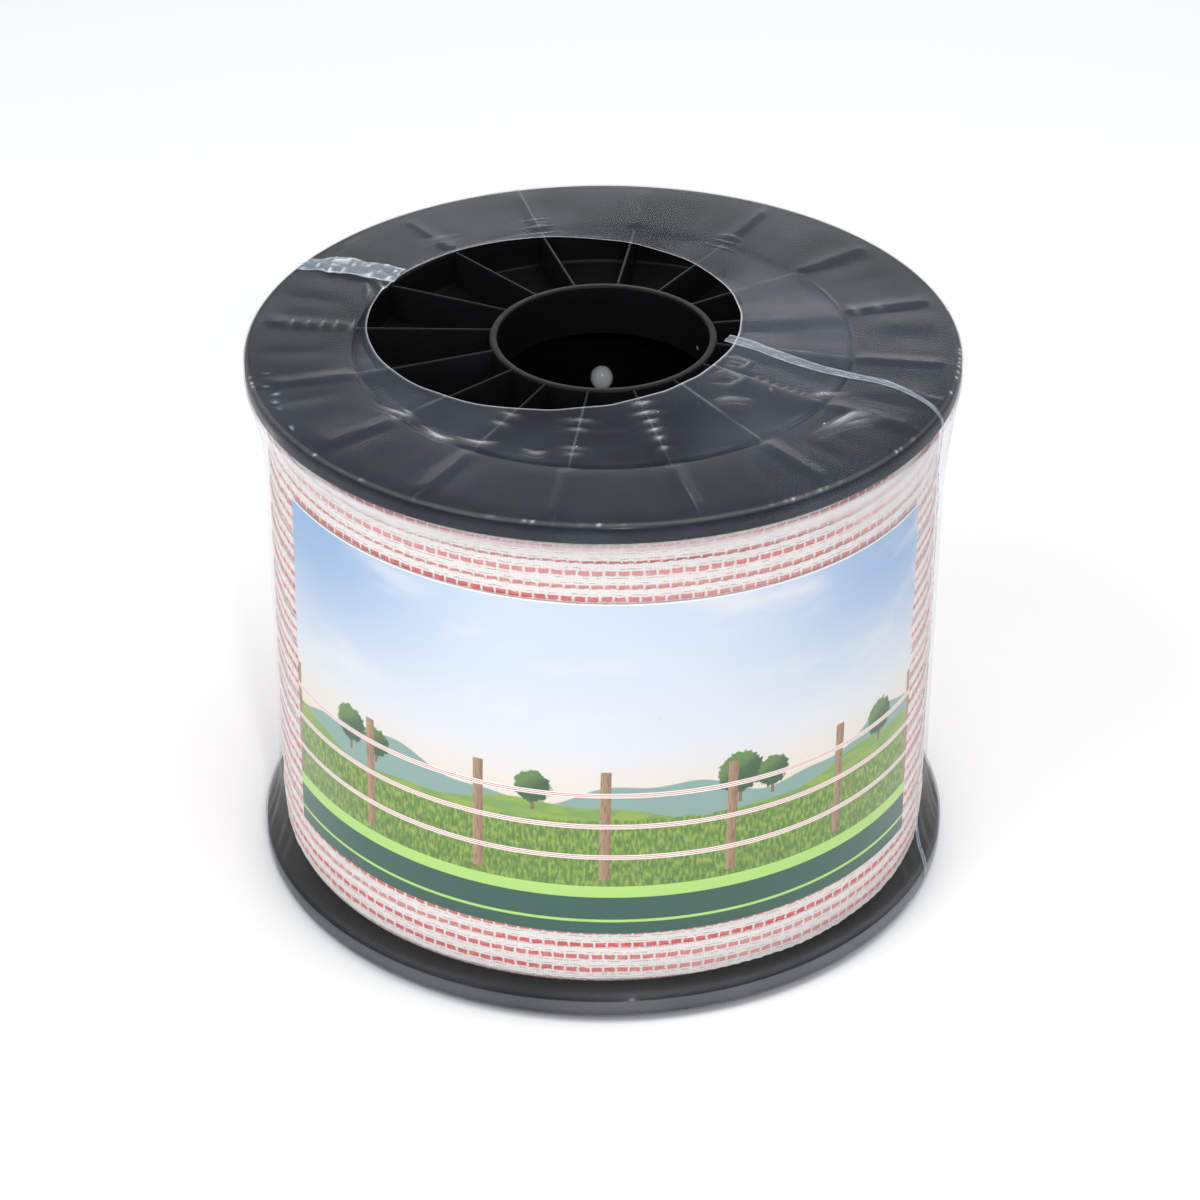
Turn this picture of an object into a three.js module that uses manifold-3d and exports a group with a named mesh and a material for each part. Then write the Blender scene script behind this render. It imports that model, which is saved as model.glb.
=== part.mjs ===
// A wound reel of electric fence tape: two moulded spool halves, the tape winding, a paper label and clear film.
// Millimetres, +Z up. The reel stands on its lower hub collar, and the origin is the centre of that collar's end.
import * as THREE from 'three';
import { mergeVertices } from 'three/addons/utils/BufferGeometryUtils.js';
import Module from 'manifold-3d';

const wasm = await Module();
wasm.setup();

// Shared by all the pieces
const ROUND_SIDES = 64;
const CLEARANCE = 0.3;
const DEGREE = Math.PI / 180;

// Spool: a flange and half of the barrel on each moulding, alike at both ends
const RIM_TO_RIM = 143.3;
const FLANGE_RADIUS = 90;
const FLANGE_THICKNESS = 5.3;
const RIM_ROUND = 1.2;
const BARREL_RADIUS = 65.2;
const BARREL_WALL = 2.2;
const COLLAR_RADIUS = 28.7;
const COLLAR_WALL = 2.1;
const COLLAR_PROUD = 2;
const POCKET_DEPTH = 9.4;
const WEB_THICKNESS = 2;

// Fins that join the hub collar to the barrel, between the pockets
const FIN_COUNT = 16;
const FIN_THICKNESS = 1.5;
const FIRST_FIN_ANGLE = -7.5 * DEGREE;

// Tape winding: how far its face lies inside the flanges' rims
const RIM_MARGIN = 4.8;

// Label: a sheet laid round the front of the winding, slightly askew
const LABEL_WIDTH = 193;
const LABEL_THICKNESS = 0.2;
const LABEL_LOW_MARGIN = 17.1;
const LABEL_HIGH_MARGIN = 18.5;
const LABEL_TURN = 0.5 * DEGREE;
const LABEL_TILT = -1 * DEGREE;
const LABEL_STEPS = 36;

// Shrink film
const FILM_THICKNESS = 0.25;
const FILM_SLOPE_HEIGHT = 12;
const FILM_LOWER_EDGE_RADIUS = 72;
const FILM_HOLE_RADIUS = 47.3;
const FILM_HOLE_CENTRE = new THREE.Vector2(-12.5, 9.9);

// Sizes that follow from the ones above
const BARREL_BORE = BARREL_RADIUS - BARREL_WALL;
const COLLAR_BORE = COLLAR_RADIUS - COLLAR_WALL;
const HALF_LENGTH = (RIM_TO_RIM - CLEARANCE) / 2;
const LOWER_RIM_HEIGHT = COLLAR_PROUD;
const UPPER_RIM_HEIGHT = COLLAR_PROUD + RIM_TO_RIM;
const WINDING_RADIUS = FLANGE_RADIUS - RIM_MARGIN;
const WINDING_BOTTOM = LOWER_RIM_HEIGHT + FLANGE_THICKNESS + CLEARANCE;
const WINDING_TOP = UPPER_RIM_HEIGHT - FLANGE_THICKNESS - CLEARANCE;
const LABEL_RADIUS = WINDING_RADIUS + CLEARANCE;
const FILM_WALL_RADIUS = LABEL_RADIUS + LABEL_THICKNESS + CLEARANCE;

function v2(radius, height) {
  return new THREE.Vector2(radius, height);
}

// Points of a quarter-round edge, from one angle to the other about its centre
function roundEdge(centreRadius, centreHeight, size, fromAngle, toAngle, steps = 3) {
  const points = [];
  for (let i = 0; i <= steps; i += 1) {
    const angle = fromAngle + (toAngle - fromAngle) * (i / steps);
    points.push(v2(centreRadius + size * Math.cos(angle), centreHeight + size * Math.sin(angle)));
  }
  return points;
}

// A closed geometry as a solid that can be joined and cut
function solidOf(geometry) {
  const bare = geometry.clone();
  bare.deleteAttribute('normal');
  bare.deleteAttribute('uv');
  const merged = mergeVertices(bare, 1e-4);
  return new wasm.Manifold(new wasm.Mesh({
    numProp: 3,
    vertProperties: new Float32Array(merged.attributes.position.array),
    triVerts: new Uint32Array(merged.index.array),
  }));
}

function geometryOf(solid) {
  const mesh = solid.getMesh();
  const geometry = new THREE.BufferGeometry();
  geometry.setAttribute('position', new THREE.BufferAttribute(new Float32Array(mesh.vertProperties), 3));
  geometry.setIndex(new THREE.BufferAttribute(new Uint32Array(mesh.triVerts), 1));
  geometry.computeVertexNormals();
  return geometry;
}

// A ring turned about +Z from a closed outline of radius and height, with its faces outward
function turned(outline) {
  const points = THREE.ShapeUtils.isClockWise(outline) ? outline.slice().reverse() : outline.slice();
  points.push(points[0].clone());
  const geometry = new THREE.LatheGeometry(points, ROUND_SIDES);
  geometry.rotateX(Math.PI / 2);
  return geometry;
}

function finish(color, roughness, extra = {}) {
  return new THREE.MeshStandardMaterial({ color, roughness, metalness: 0, ...extra });
}

function named(name, geometry, material) {
  const mesh = new THREE.Mesh(geometry, material);
  mesh.name = name;
  return mesh;
}

// One moulding in its own frame: the flange's outer plane at height 0, the collar up, the barrel down
function spoolBodyOutline() {
  const webTop = -POCKET_DEPTH;
  const webUnder = webTop - WEB_THICKNESS;
  const rimCentre = FLANGE_RADIUS - RIM_ROUND;
  return [
    v2(COLLAR_BORE, webUnder),
    v2(COLLAR_BORE, COLLAR_PROUD),
    v2(COLLAR_RADIUS, COLLAR_PROUD),
    v2(COLLAR_RADIUS, webTop),
    v2(BARREL_BORE, webTop),
    v2(BARREL_BORE, 0),
    ...roundEdge(rimCentre, -RIM_ROUND, RIM_ROUND, Math.PI / 2, 0),
    ...roundEdge(rimCentre, RIM_ROUND - FLANGE_THICKNESS, RIM_ROUND, 0, -Math.PI / 2),
    v2(BARREL_RADIUS, -FLANGE_THICKNESS),
    v2(BARREL_RADIUS, -HALF_LENGTH),
    v2(BARREL_BORE, -HALF_LENGTH),
    v2(BARREL_BORE, webUnder),
  ];
}

// A fin's side view: its top edge falls from the collar's end to the flange's plane, its ends run into the walls
function finOutline() {
  const inner = COLLAR_RADIUS - COLLAR_WALL / 2;
  const outer = BARREL_BORE + BARREL_WALL / 2;
  const foot = -POCKET_DEPTH - WEB_THICKNESS / 2;
  return [
    v2(inner, foot),
    v2(outer, foot),
    v2(outer, 0),
    v2(BARREL_BORE, 0),
    v2(COLLAR_RADIUS, COLLAR_PROUD),
    v2(inner, COLLAR_PROUD),
  ];
}

function fin(angle) {
  const geometry = new THREE.ExtrudeGeometry(new THREE.Shape(finOutline()), {
    depth: FIN_THICKNESS,
    bevelEnabled: false,
  });
  geometry.translate(0, 0, -FIN_THICKNESS / 2);
  geometry.rotateX(Math.PI / 2);
  geometry.rotateZ(angle);
  return geometry;
}

function spoolHalf() {
  let half = solidOf(turned(spoolBodyOutline()));
  for (let i = 0; i < FIN_COUNT; i += 1) {
    half = half.add(solidOf(fin(FIRST_FIN_ANGLE + (i / FIN_COUNT) * 2 * Math.PI)));
  }
  return geometryOf(half);
}

function windingOutline() {
  return [
    v2(BARREL_RADIUS + CLEARANCE, WINDING_BOTTOM),
    v2(WINDING_RADIUS, WINDING_BOTTOM),
    v2(WINDING_RADIUS, WINDING_TOP),
    v2(BARREL_RADIUS + CLEARANCE, WINDING_TOP),
  ];
}

// The flat label wrapped round the winding: x runs along the winding, y through the sheet and z up
function labelSheet() {
  const height = WINDING_TOP - LABEL_HIGH_MARGIN - WINDING_BOTTOM - LABEL_LOW_MARGIN;
  const middle = WINDING_BOTTOM + LABEL_LOW_MARGIN + height / 2;
  const sheet = new THREE.BoxGeometry(LABEL_WIDTH, LABEL_THICKNESS, height, LABEL_STEPS, 1, 1);
  sheet.rotateY(-LABEL_TILT);
  const position = sheet.attributes.position;
  for (let i = 0; i < position.count; i += 1) {
    const radius = LABEL_RADIUS + LABEL_THICKNESS / 2 - position.getY(i);
    const angle = position.getX(i) / LABEL_RADIUS + LABEL_TURN - Math.PI / 2;
    position.setXYZ(i, radius * Math.cos(angle), radius * Math.sin(angle), middle + position.getZ(i));
  }
  return geometryOf(solidOf(sheet));
}

// Half of the film's path over one flange, at a distance outside the pieces and seen from that flange's plane
function filmOverRim(offset) {
  const rimCentre = FLANGE_RADIUS - RIM_ROUND;
  const wall = FILM_WALL_RADIUS + offset - CLEARANCE;
  return [
    ...roundEdge(rimCentre, -RIM_ROUND, RIM_ROUND + offset, Math.PI / 2, 0),
    ...roundEdge(rimCentre, RIM_ROUND - FLANGE_THICKNESS, RIM_ROUND + offset, 0, -Math.PI / 8, 1),
    v2(wall, -FLANGE_THICKNESS - FILM_SLOPE_HEIGHT),
  ];
}

// The film's path from the hub, over the fins and the upper rim, down the wall and under the lower rim
function filmPath(offset) {
  const capStart = COLLAR_RADIUS + CLEARANCE;
  const fall = COLLAR_PROUD / (BARREL_BORE - COLLAR_RADIUS);
  const cap = [
    v2(capStart, UPPER_RIM_HEIGHT + (BARREL_BORE - capStart) * fall + offset),
    v2(BARREL_BORE, UPPER_RIM_HEIGHT + offset),
  ];
  const upper = filmOverRim(offset).map((p) => v2(p.x, UPPER_RIM_HEIGHT + p.y));
  const lower = filmOverRim(offset).map((p) => v2(p.x, LOWER_RIM_HEIGHT - p.y)).reverse();
  return [...cap, ...upper, ...lower, v2(FILM_LOWER_EDGE_RADIUS, LOWER_RIM_HEIGHT - offset)];
}

function filmShell() {
  const inside = filmPath(CLEARANCE);
  const outside = filmPath(CLEARANCE + FILM_THICKNESS);
  const shell = solidOf(turned([...inside, ...outside.reverse()]));
  const cutter = new THREE.CylinderGeometry(FILM_HOLE_RADIUS, FILM_HOLE_RADIUS, RIM_TO_RIM, ROUND_SIDES);
  cutter.rotateX(Math.PI / 2);
  cutter.translate(FILM_HOLE_CENTRE.x, FILM_HOLE_CENTRE.y, UPPER_RIM_HEIGHT);
  return geometryOf(shell.subtract(solidOf(cutter)));
}

const blackPlastic = finish(0x17181a, 0.38);
const wovenTape = finish(0xe9dfdc, 0.75);
const printedPaper = finish(0x9fc4d8, 0.45);
const clearFilm = finish(0xdfe8ee, 0.12, { transparent: true, opacity: 0.3 });

const upperHalf = named('upper_spool_half', spoolHalf(), blackPlastic);
upperHalf.position.z = UPPER_RIM_HEIGHT;
const lowerHalf = named('lower_spool_half', spoolHalf(), blackPlastic);
lowerHalf.position.z = LOWER_RIM_HEIGHT;
lowerHalf.rotation.x = Math.PI;

const reel = new THREE.Group();
reel.add(upperHalf);
reel.add(lowerHalf);
reel.add(named('tape_winding', geometryOf(solidOf(turned(windingOutline()))), wovenTape));
reel.add(named('label', labelSheet(), printedPaper));
reel.add(named('shrink_film', filmShell(), clearFilm));

export default reel;
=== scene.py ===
"""Looks of a wound reel of electric fence tape: moulded spool, woven tape, printed label and shrink film.

Lengths in the classes are millimetres, +Z up, with the origin at the middle of the lower hub collar's end.
Meshes are turned into metres when they are made.
"""

import logging
import math
from dataclasses import dataclass, field
from enum import Enum

import bmesh
import bpy
import numpy as np
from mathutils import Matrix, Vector

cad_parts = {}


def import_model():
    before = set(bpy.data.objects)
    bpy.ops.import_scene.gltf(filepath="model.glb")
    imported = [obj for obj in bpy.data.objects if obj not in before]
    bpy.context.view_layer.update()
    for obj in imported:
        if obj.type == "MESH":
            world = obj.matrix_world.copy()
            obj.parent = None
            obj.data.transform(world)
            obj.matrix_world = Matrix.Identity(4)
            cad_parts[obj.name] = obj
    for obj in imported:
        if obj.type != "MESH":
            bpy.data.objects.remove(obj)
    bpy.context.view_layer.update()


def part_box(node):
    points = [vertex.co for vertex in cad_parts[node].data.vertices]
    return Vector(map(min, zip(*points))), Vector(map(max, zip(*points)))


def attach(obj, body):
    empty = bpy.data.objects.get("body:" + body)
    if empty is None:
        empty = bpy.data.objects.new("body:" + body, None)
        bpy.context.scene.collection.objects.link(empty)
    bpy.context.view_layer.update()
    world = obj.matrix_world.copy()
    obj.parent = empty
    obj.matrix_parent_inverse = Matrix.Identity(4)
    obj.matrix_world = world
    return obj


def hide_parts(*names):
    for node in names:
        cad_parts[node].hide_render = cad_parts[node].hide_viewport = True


LOG = logging.getLogger("reel")
MM = 0.001
PHOTO_SIDE = 1200
SENSOR_WIDTH = 36.0
ROOT = "root"
PIECE_GAP = 0.3
LABEL_THICKNESS = 0.12
FILM_RADIUS = 86.05
Colour = tuple[float, float, float]
Wave = tuple[float, float, float]
Place = tuple[float, float, float]
Outline = list[tuple[float, float]]


class Slot(Enum):
    """The record's material slots."""

    SPOOL = "spool_plastic"
    TAPE = "tape_weave"
    LABEL = "label_paper"
    FILM = "clear_film"


class End(Enum):
    """The two ends of the reel, as the direction that an end's outer face looks in."""

    UPPER = 1
    LOWER = -1


def smooth(edge0: float, edge1: float, x: np.ndarray | float) -> np.ndarray:
    """Rises smoothly from 0 at edge0 to 1 at edge1.

    Args:
        edge0: where the rise starts.
        edge1: where it ends.
        x: the values.

    Returns:
        The eased values.
    """
    t = np.clip((np.asarray(x, float) - edge0) / (edge1 - edge0), 0.0, 1.0)
    return t * t * (3.0 - 2.0 * t)


def bell(x: np.ndarray, width: float) -> np.ndarray:
    """A soft hump of height 1 at x = 0, falling off over width."""
    return np.exp(-((np.asarray(x, float) / width) ** 2))


def turn_gap(angle: np.ndarray, centre: float) -> np.ndarray:
    """The signed difference of two angles in degrees, from -180 to 180."""
    return (np.asarray(angle, float) - centre + 180.0) % 360.0 - 180.0


def ripples(angle: np.ndarray, waves: tuple[int, ...], seed: int) -> np.ndarray:
    """A smooth random wave round a circle, made of whole numbers of waves.

    Args:
        angle: angles in degrees.
        waves: how many waves each part has round the circle.
        seed: picks the phases.

    Returns:
        Values between about -1 and 1.
    """
    phases = np.random.default_rng(seed).uniform(0.0, 2.0 * math.pi, len(waves))
    total = sum(np.sin(np.radians(angle) * n + p) for n, p in zip(waves, phases))
    return total / math.sqrt(len(waves))


def grid_faces(rows: int, columns: int, wrap: bool) -> np.ndarray:
    """Quads of a grid of points stored row by row.

    Args:
        rows: number of rows.
        columns: number of points in a row.
        wrap: True if the last point of a row joins the first.

    Returns:
        An array of four indices a quad.
    """
    last = columns if wrap else columns - 1
    row = np.arange(rows - 1)[:, None] * columns
    here = np.arange(last)[None, :]
    after = (here + 1) % columns
    quads = [row + here, row + after, row + columns + after, row + columns + here]
    return np.stack(quads, axis=-1).reshape(-1, 4)


def make_piece(
    name: str,
    points: np.ndarray,
    faces: np.ndarray | list,
    material: bpy.types.Material,
    uv: np.ndarray | None = None,
    fields: dict[str, np.ndarray] | None = None,
) -> bpy.types.Object:
    """Makes a smooth-shaded mesh object.

    Args:
        name: the object's name.
        points: points in millimetres.
        faces: indices of each face.
        material: its material.
        uv: one pair of numbers a point, for the UV map.
        fields: named values, one a point.

    Returns:
        The new object.
    """
    mesh = bpy.data.meshes.new(name)
    mesh.from_pydata((np.asarray(points, float) * MM).tolist(), [], [list(map(int, f)) for f in faces])
    mesh.shade_smooth()
    if uv is not None:
        layer = mesh.uv_layers.new(name="UVMap")
        corner = np.empty(len(mesh.loops), np.int32)
        mesh.loops.foreach_get("vertex_index", corner)
        layer.data.foreach_set("uv", uv[corner].astype(np.float32).ravel())
    for field_name, values in (fields or {}).items():
        attribute = mesh.attributes.new(field_name, "FLOAT", "POINT")
        attribute.data.foreach_set("value", np.asarray(values, np.float32).ravel())
    mesh.materials.append(material)
    piece = bpy.data.objects.new(name, mesh)
    bpy.context.scene.collection.objects.link(piece)
    return piece


def crisp(piece: bpy.types.Object, angle: float = 40.0) -> None:
    """Keeps the edges of a piece sharp where its faces turn by more than an angle in degrees."""
    piece.data.set_sharp_from_angle(angle=math.radians(angle))


def hand_over(piece: bpy.types.Object, slot: Slot, *nodes: str) -> None:
    """Lets a piece ride on the reel and, where nodes are given, stands it in for them."""
    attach(piece, ROOT)
    if nodes:
        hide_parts(*nodes)
    LOG.info("%s: %d points, %d faces", piece.name, len(piece.data.vertices), len(piece.data.polygons))


class Nodes:
    """Adds shader nodes to one tree, with one short call for each."""

    def __init__(self, tree: bpy.types.NodeTree) -> None:
        """Remembers the tree that the nodes go into."""
        self.tree = tree

    def plug(self, socket: bpy.types.NodeSocket, value: object) -> None:
        """Links a socket to another, or sets its value.

        Args:
            socket: an input.
            value: an output socket, a number or a colour.
        """
        if isinstance(value, bpy.types.NodeSocket):
            self.tree.links.new(value, socket)
        elif isinstance(value, tuple) and socket.type == "RGBA" and len(value) == 3:
            socket.default_value = (*value, 1.0)
        else:
            socket.default_value = value

    def add(self, kind: str, settings: dict | None = None, **inputs: object) -> bpy.types.Node:
        """Adds a node.

        Args:
            kind: the node's type name.
            settings: its own properties.
            **inputs: values for its inputs, with _ for a blank in their names.

        Returns:
            The node.
        """
        node = self.tree.nodes.new(kind)
        for key, value in (settings or {}).items():
            setattr(node, key, value)
        for key, value in inputs.items():
            self.plug(node.inputs[key.replace("_", " ")], value)
        return node

    def math(self, operation: str, a: object, b: object = 0.0, c: object = 0.0) -> bpy.types.NodeSocket:
        """Adds a Math node and gives its result."""
        node = self.tree.nodes.new("ShaderNodeMath")
        node.operation = operation
        for socket, value in zip(node.inputs, (a, b, c)):
            self.plug(socket, value)
        return node.outputs[0]

    def total(self, *values: object) -> bpy.types.NodeSocket:
        """The sum of two or more values."""
        result = values[0]
        for value in values[1:]:
            result = self.math("ADD", result, value)
        return result

    def times(self, *values: object) -> bpy.types.NodeSocket:
        """The product of two or more values."""
        result = values[0]
        for value in values[1:]:
            result = self.math("MULTIPLY", result, value)
        return result

    def invert(self, value: object) -> bpy.types.NodeSocket:
        """One minus a value."""
        return self.math("SUBTRACT", 1.0, value)

    def step(self, value: object, low: object, high: object) -> bpy.types.NodeSocket:
        """Rises smoothly from 0 at low to 1 at high."""
        node = self.tree.nodes.new("ShaderNodeMapRange")
        node.interpolation_type = "SMOOTHSTEP"
        self.plug(node.inputs["Value"], value)
        self.plug(node.inputs["From Min"], low)
        self.plug(node.inputs["From Max"], high)
        return node.outputs["Result"]

    def near(self, value: object, centre: float, half: float, soft: float) -> bpy.types.NodeSocket:
        """A mask that is 1 within half of centre and falls to 0 over soft."""
        away = self.math("ABSOLUTE", self.math("SUBTRACT", value, centre))
        return self.invert(self.step(away, half, half + soft))

    def mix(self, share: object, a: object, b: object) -> bpy.types.NodeSocket:
        """A colour between a and b."""
        node = self.tree.nodes.new("ShaderNodeMix")
        node.data_type = "RGBA"
        self.plug(node.inputs[0], share)
        self.plug(node.inputs[6], a)
        self.plug(node.inputs[7], b)
        return node.outputs[2]

    def split(self, vector: object) -> bpy.types.bpy_prop_collection:
        """The X, Y and Z outputs of a vector."""
        return self.add("ShaderNodeSeparateXYZ", Vector=vector).outputs

    def join(self, x: object, y: object, z: object = 0.0) -> bpy.types.NodeSocket:
        """A vector from three values."""
        return self.add("ShaderNodeCombineXYZ", X=x, Y=y, Z=z).outputs[0]

    def noise(self, vector: object, scale: float, detail: float = 3.0) -> bpy.types.NodeSocket:
        """A noise value from 0 to 1."""
        node = self.add("ShaderNodeTexNoise", Vector=vector, Scale=scale, Detail=detail)
        return node.outputs["Fac"]

    def attribute(self, name: str) -> bpy.types.NodeSocket:
        """A named value of the mesh."""
        return self.add("ShaderNodeAttribute", {"attribute_name": name}).outputs["Fac"]

    def group(self, tree: bpy.types.NodeTree, **inputs: object) -> bpy.types.Node:
        """Places a shared node group."""
        node = self.tree.nodes.new("ShaderNodeGroup")
        node.node_tree = tree
        for key, value in inputs.items():
            self.plug(node.inputs[key.replace("_", " ")], value)
        return node

    def bump(self, height: object, strength: float, distance_mm: float) -> bpy.types.NodeSocket:
        """A normal from a height of 0 to 1 that stands for a distance in millimetres."""
        node = self.add("ShaderNodeBump", Strength=strength, Distance=distance_mm * MM, Height=height)
        return node.outputs[0]


def new_group(name: str, inputs: dict[str, tuple[str, float | None]], outputs: dict[str, str]) -> tuple:
    """Makes an empty shader node group with named sockets.

    Args:
        name: the group's name.
        inputs: name to socket type and default value.
        outputs: name to socket type.

    Returns:
        The group, a builder for it, its input sockets and its output node.
    """
    tree = bpy.data.node_groups.new(name, "ShaderNodeTree")
    for key, (kind, default) in inputs.items():
        socket = tree.interface.new_socket(key, in_out="INPUT", socket_type=kind)
        if default is not None:
            socket.default_value = default
    for key, kind in outputs.items():
        tree.interface.new_socket(key, in_out="OUTPUT", socket_type=kind)
    source = tree.nodes.new("NodeGroupInput")
    sink = tree.nodes.new("NodeGroupOutput")
    return tree, Nodes(tree), source.outputs, sink


@dataclass
class SharedEffects:
    """Node groups that more than one material uses."""

    grain: bpy.types.NodeTree = field(init=False)
    specks: bpy.types.NodeTree = field(init=False)

    def __post_init__(self) -> None:
        """Builds the groups once."""
        self.grain = self.build_grain()
        self.specks = self.build_specks()

    def build_grain(self) -> bpy.types.NodeTree:
        """Fine unevenness of a surface: a value from 0 to 1 and a height, at a scale in waves a metre.

        Returns:
            The group.
        """
        floats = {"Scale": ("NodeSocketFloat", 300.0), "Stretch": ("NodeSocketFloat", 1.0)}
        tree, n, given, sink = new_group(
            "fine_grain",
            {"Vector": ("NodeSocketVector", None), **floats},
            {"Value": "NodeSocketFloat", "Height": "NodeSocketFloat"},
        )
        x, y, z = n.split(given["Vector"])
        vector = n.join(x, y, n.times(z, given["Stretch"]))
        coarse = n.add("ShaderNodeTexNoise", Vector=vector, Scale=given["Scale"], Detail=2.0)
        fine_scale = n.times(given["Scale"], 5.3)
        fine = n.add("ShaderNodeTexNoise", Vector=vector, Scale=fine_scale, Detail=3.0)
        n.plug(sink.inputs["Value"], coarse.outputs["Fac"])
        both = n.total(n.times(coarse.outputs["Fac"], 0.6), n.times(fine.outputs["Fac"], 0.4))
        n.plug(sink.inputs["Height"], both)
        return tree

    def build_specks(self) -> bpy.types.NodeTree:
        """Sparse dust: a mask of small round specks, a share of the cells of a scale in cells a metre.

        Returns:
            The group.
        """
        floats = {
            "Scale": ("NodeSocketFloat", 150.0),
            "Share": ("NodeSocketFloat", 0.1),
            "Radius": ("NodeSocketFloat", 0.08),
        }
        tree, n, given, sink = new_group(
            "dust_specks",
            {"Vector": ("NodeSocketVector", None), **floats},
            {"Mask": "NodeSocketFloat"},
        )
        cells = n.add("ShaderNodeTexVoronoi", Vector=given["Vector"], Scale=given["Scale"])
        draw = n.split(cells.outputs["Color"])
        chosen = n.math("LESS_THAN", draw[0], given["Share"])
        size = n.times(given["Radius"], n.total(draw[1], 0.25))
        inside = n.invert(n.step(cells.outputs["Distance"], n.times(size, 0.6), size))
        n.plug(sink.inputs["Mask"], n.times(chosen, inside))
        return tree


def new_material(name: str) -> tuple[bpy.types.Material, Nodes, bpy.types.Node]:
    """A material with one Principled BSDF.

    Args:
        name: the material's name.

    Returns:
        The material, a builder for its nodes and the shader node.
    """
    material = bpy.data.materials.new(name)
    material.use_nodes = True
    nodes = Nodes(material.node_tree)
    return material, nodes, material.node_tree.nodes["Principled BSDF"]


@dataclass(frozen=True)
class MouldedPlastic:
    """Black moulded plastic of the spool: satin, with a fine grain, soft scuffs and a little dust."""

    name: str = "moulded_plastic"
    colour: Colour = (0.0045, 0.0047, 0.0052)
    dust: Colour = (0.30, 0.31, 0.33)
    roughness: float = 0.27
    roughness_spread: float = 0.14
    dust_share: float = 0.10
    specular: float = 0.09
    scuff: Colour = (0.013, 0.014, 0.016)

    def material(self, shared: SharedEffects) -> bpy.types.Material:
        """Builds the finish.

        Args:
            shared: the shared node groups.

        Returns:
            The material.
        """
        material, n, shader = new_material(self.name)
        place = n.add("ShaderNodeTexCoord").outputs["Object"]
        grain = n.group(shared.grain, Vector=place, Scale=160.0).outputs
        scuffs = n.step(n.noise(place, 42.0, 5.0), 0.55, 0.75)
        specks = n.group(shared.specks, Vector=place, Scale=170.0, Share=self.dust_share, Radius=0.10)
        worn = n.mix(n.times(scuffs, 0.35), self.colour, self.scuff)
        n.plug(shader.inputs["Base Color"], n.mix(n.times(specks.outputs[0], 0.6), worn, self.dust))
        uneven = n.times(grain["Value"], self.roughness_spread)
        rough = n.total(self.roughness, uneven, n.times(scuffs, 0.08))
        n.plug(shader.inputs["Roughness"], rough)
        n.plug(shader.inputs["Normal"], n.bump(grain["Value"], 0.10, 0.02))
        shader.inputs["Specular IOR Level"].default_value = self.specular
        return material


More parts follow.
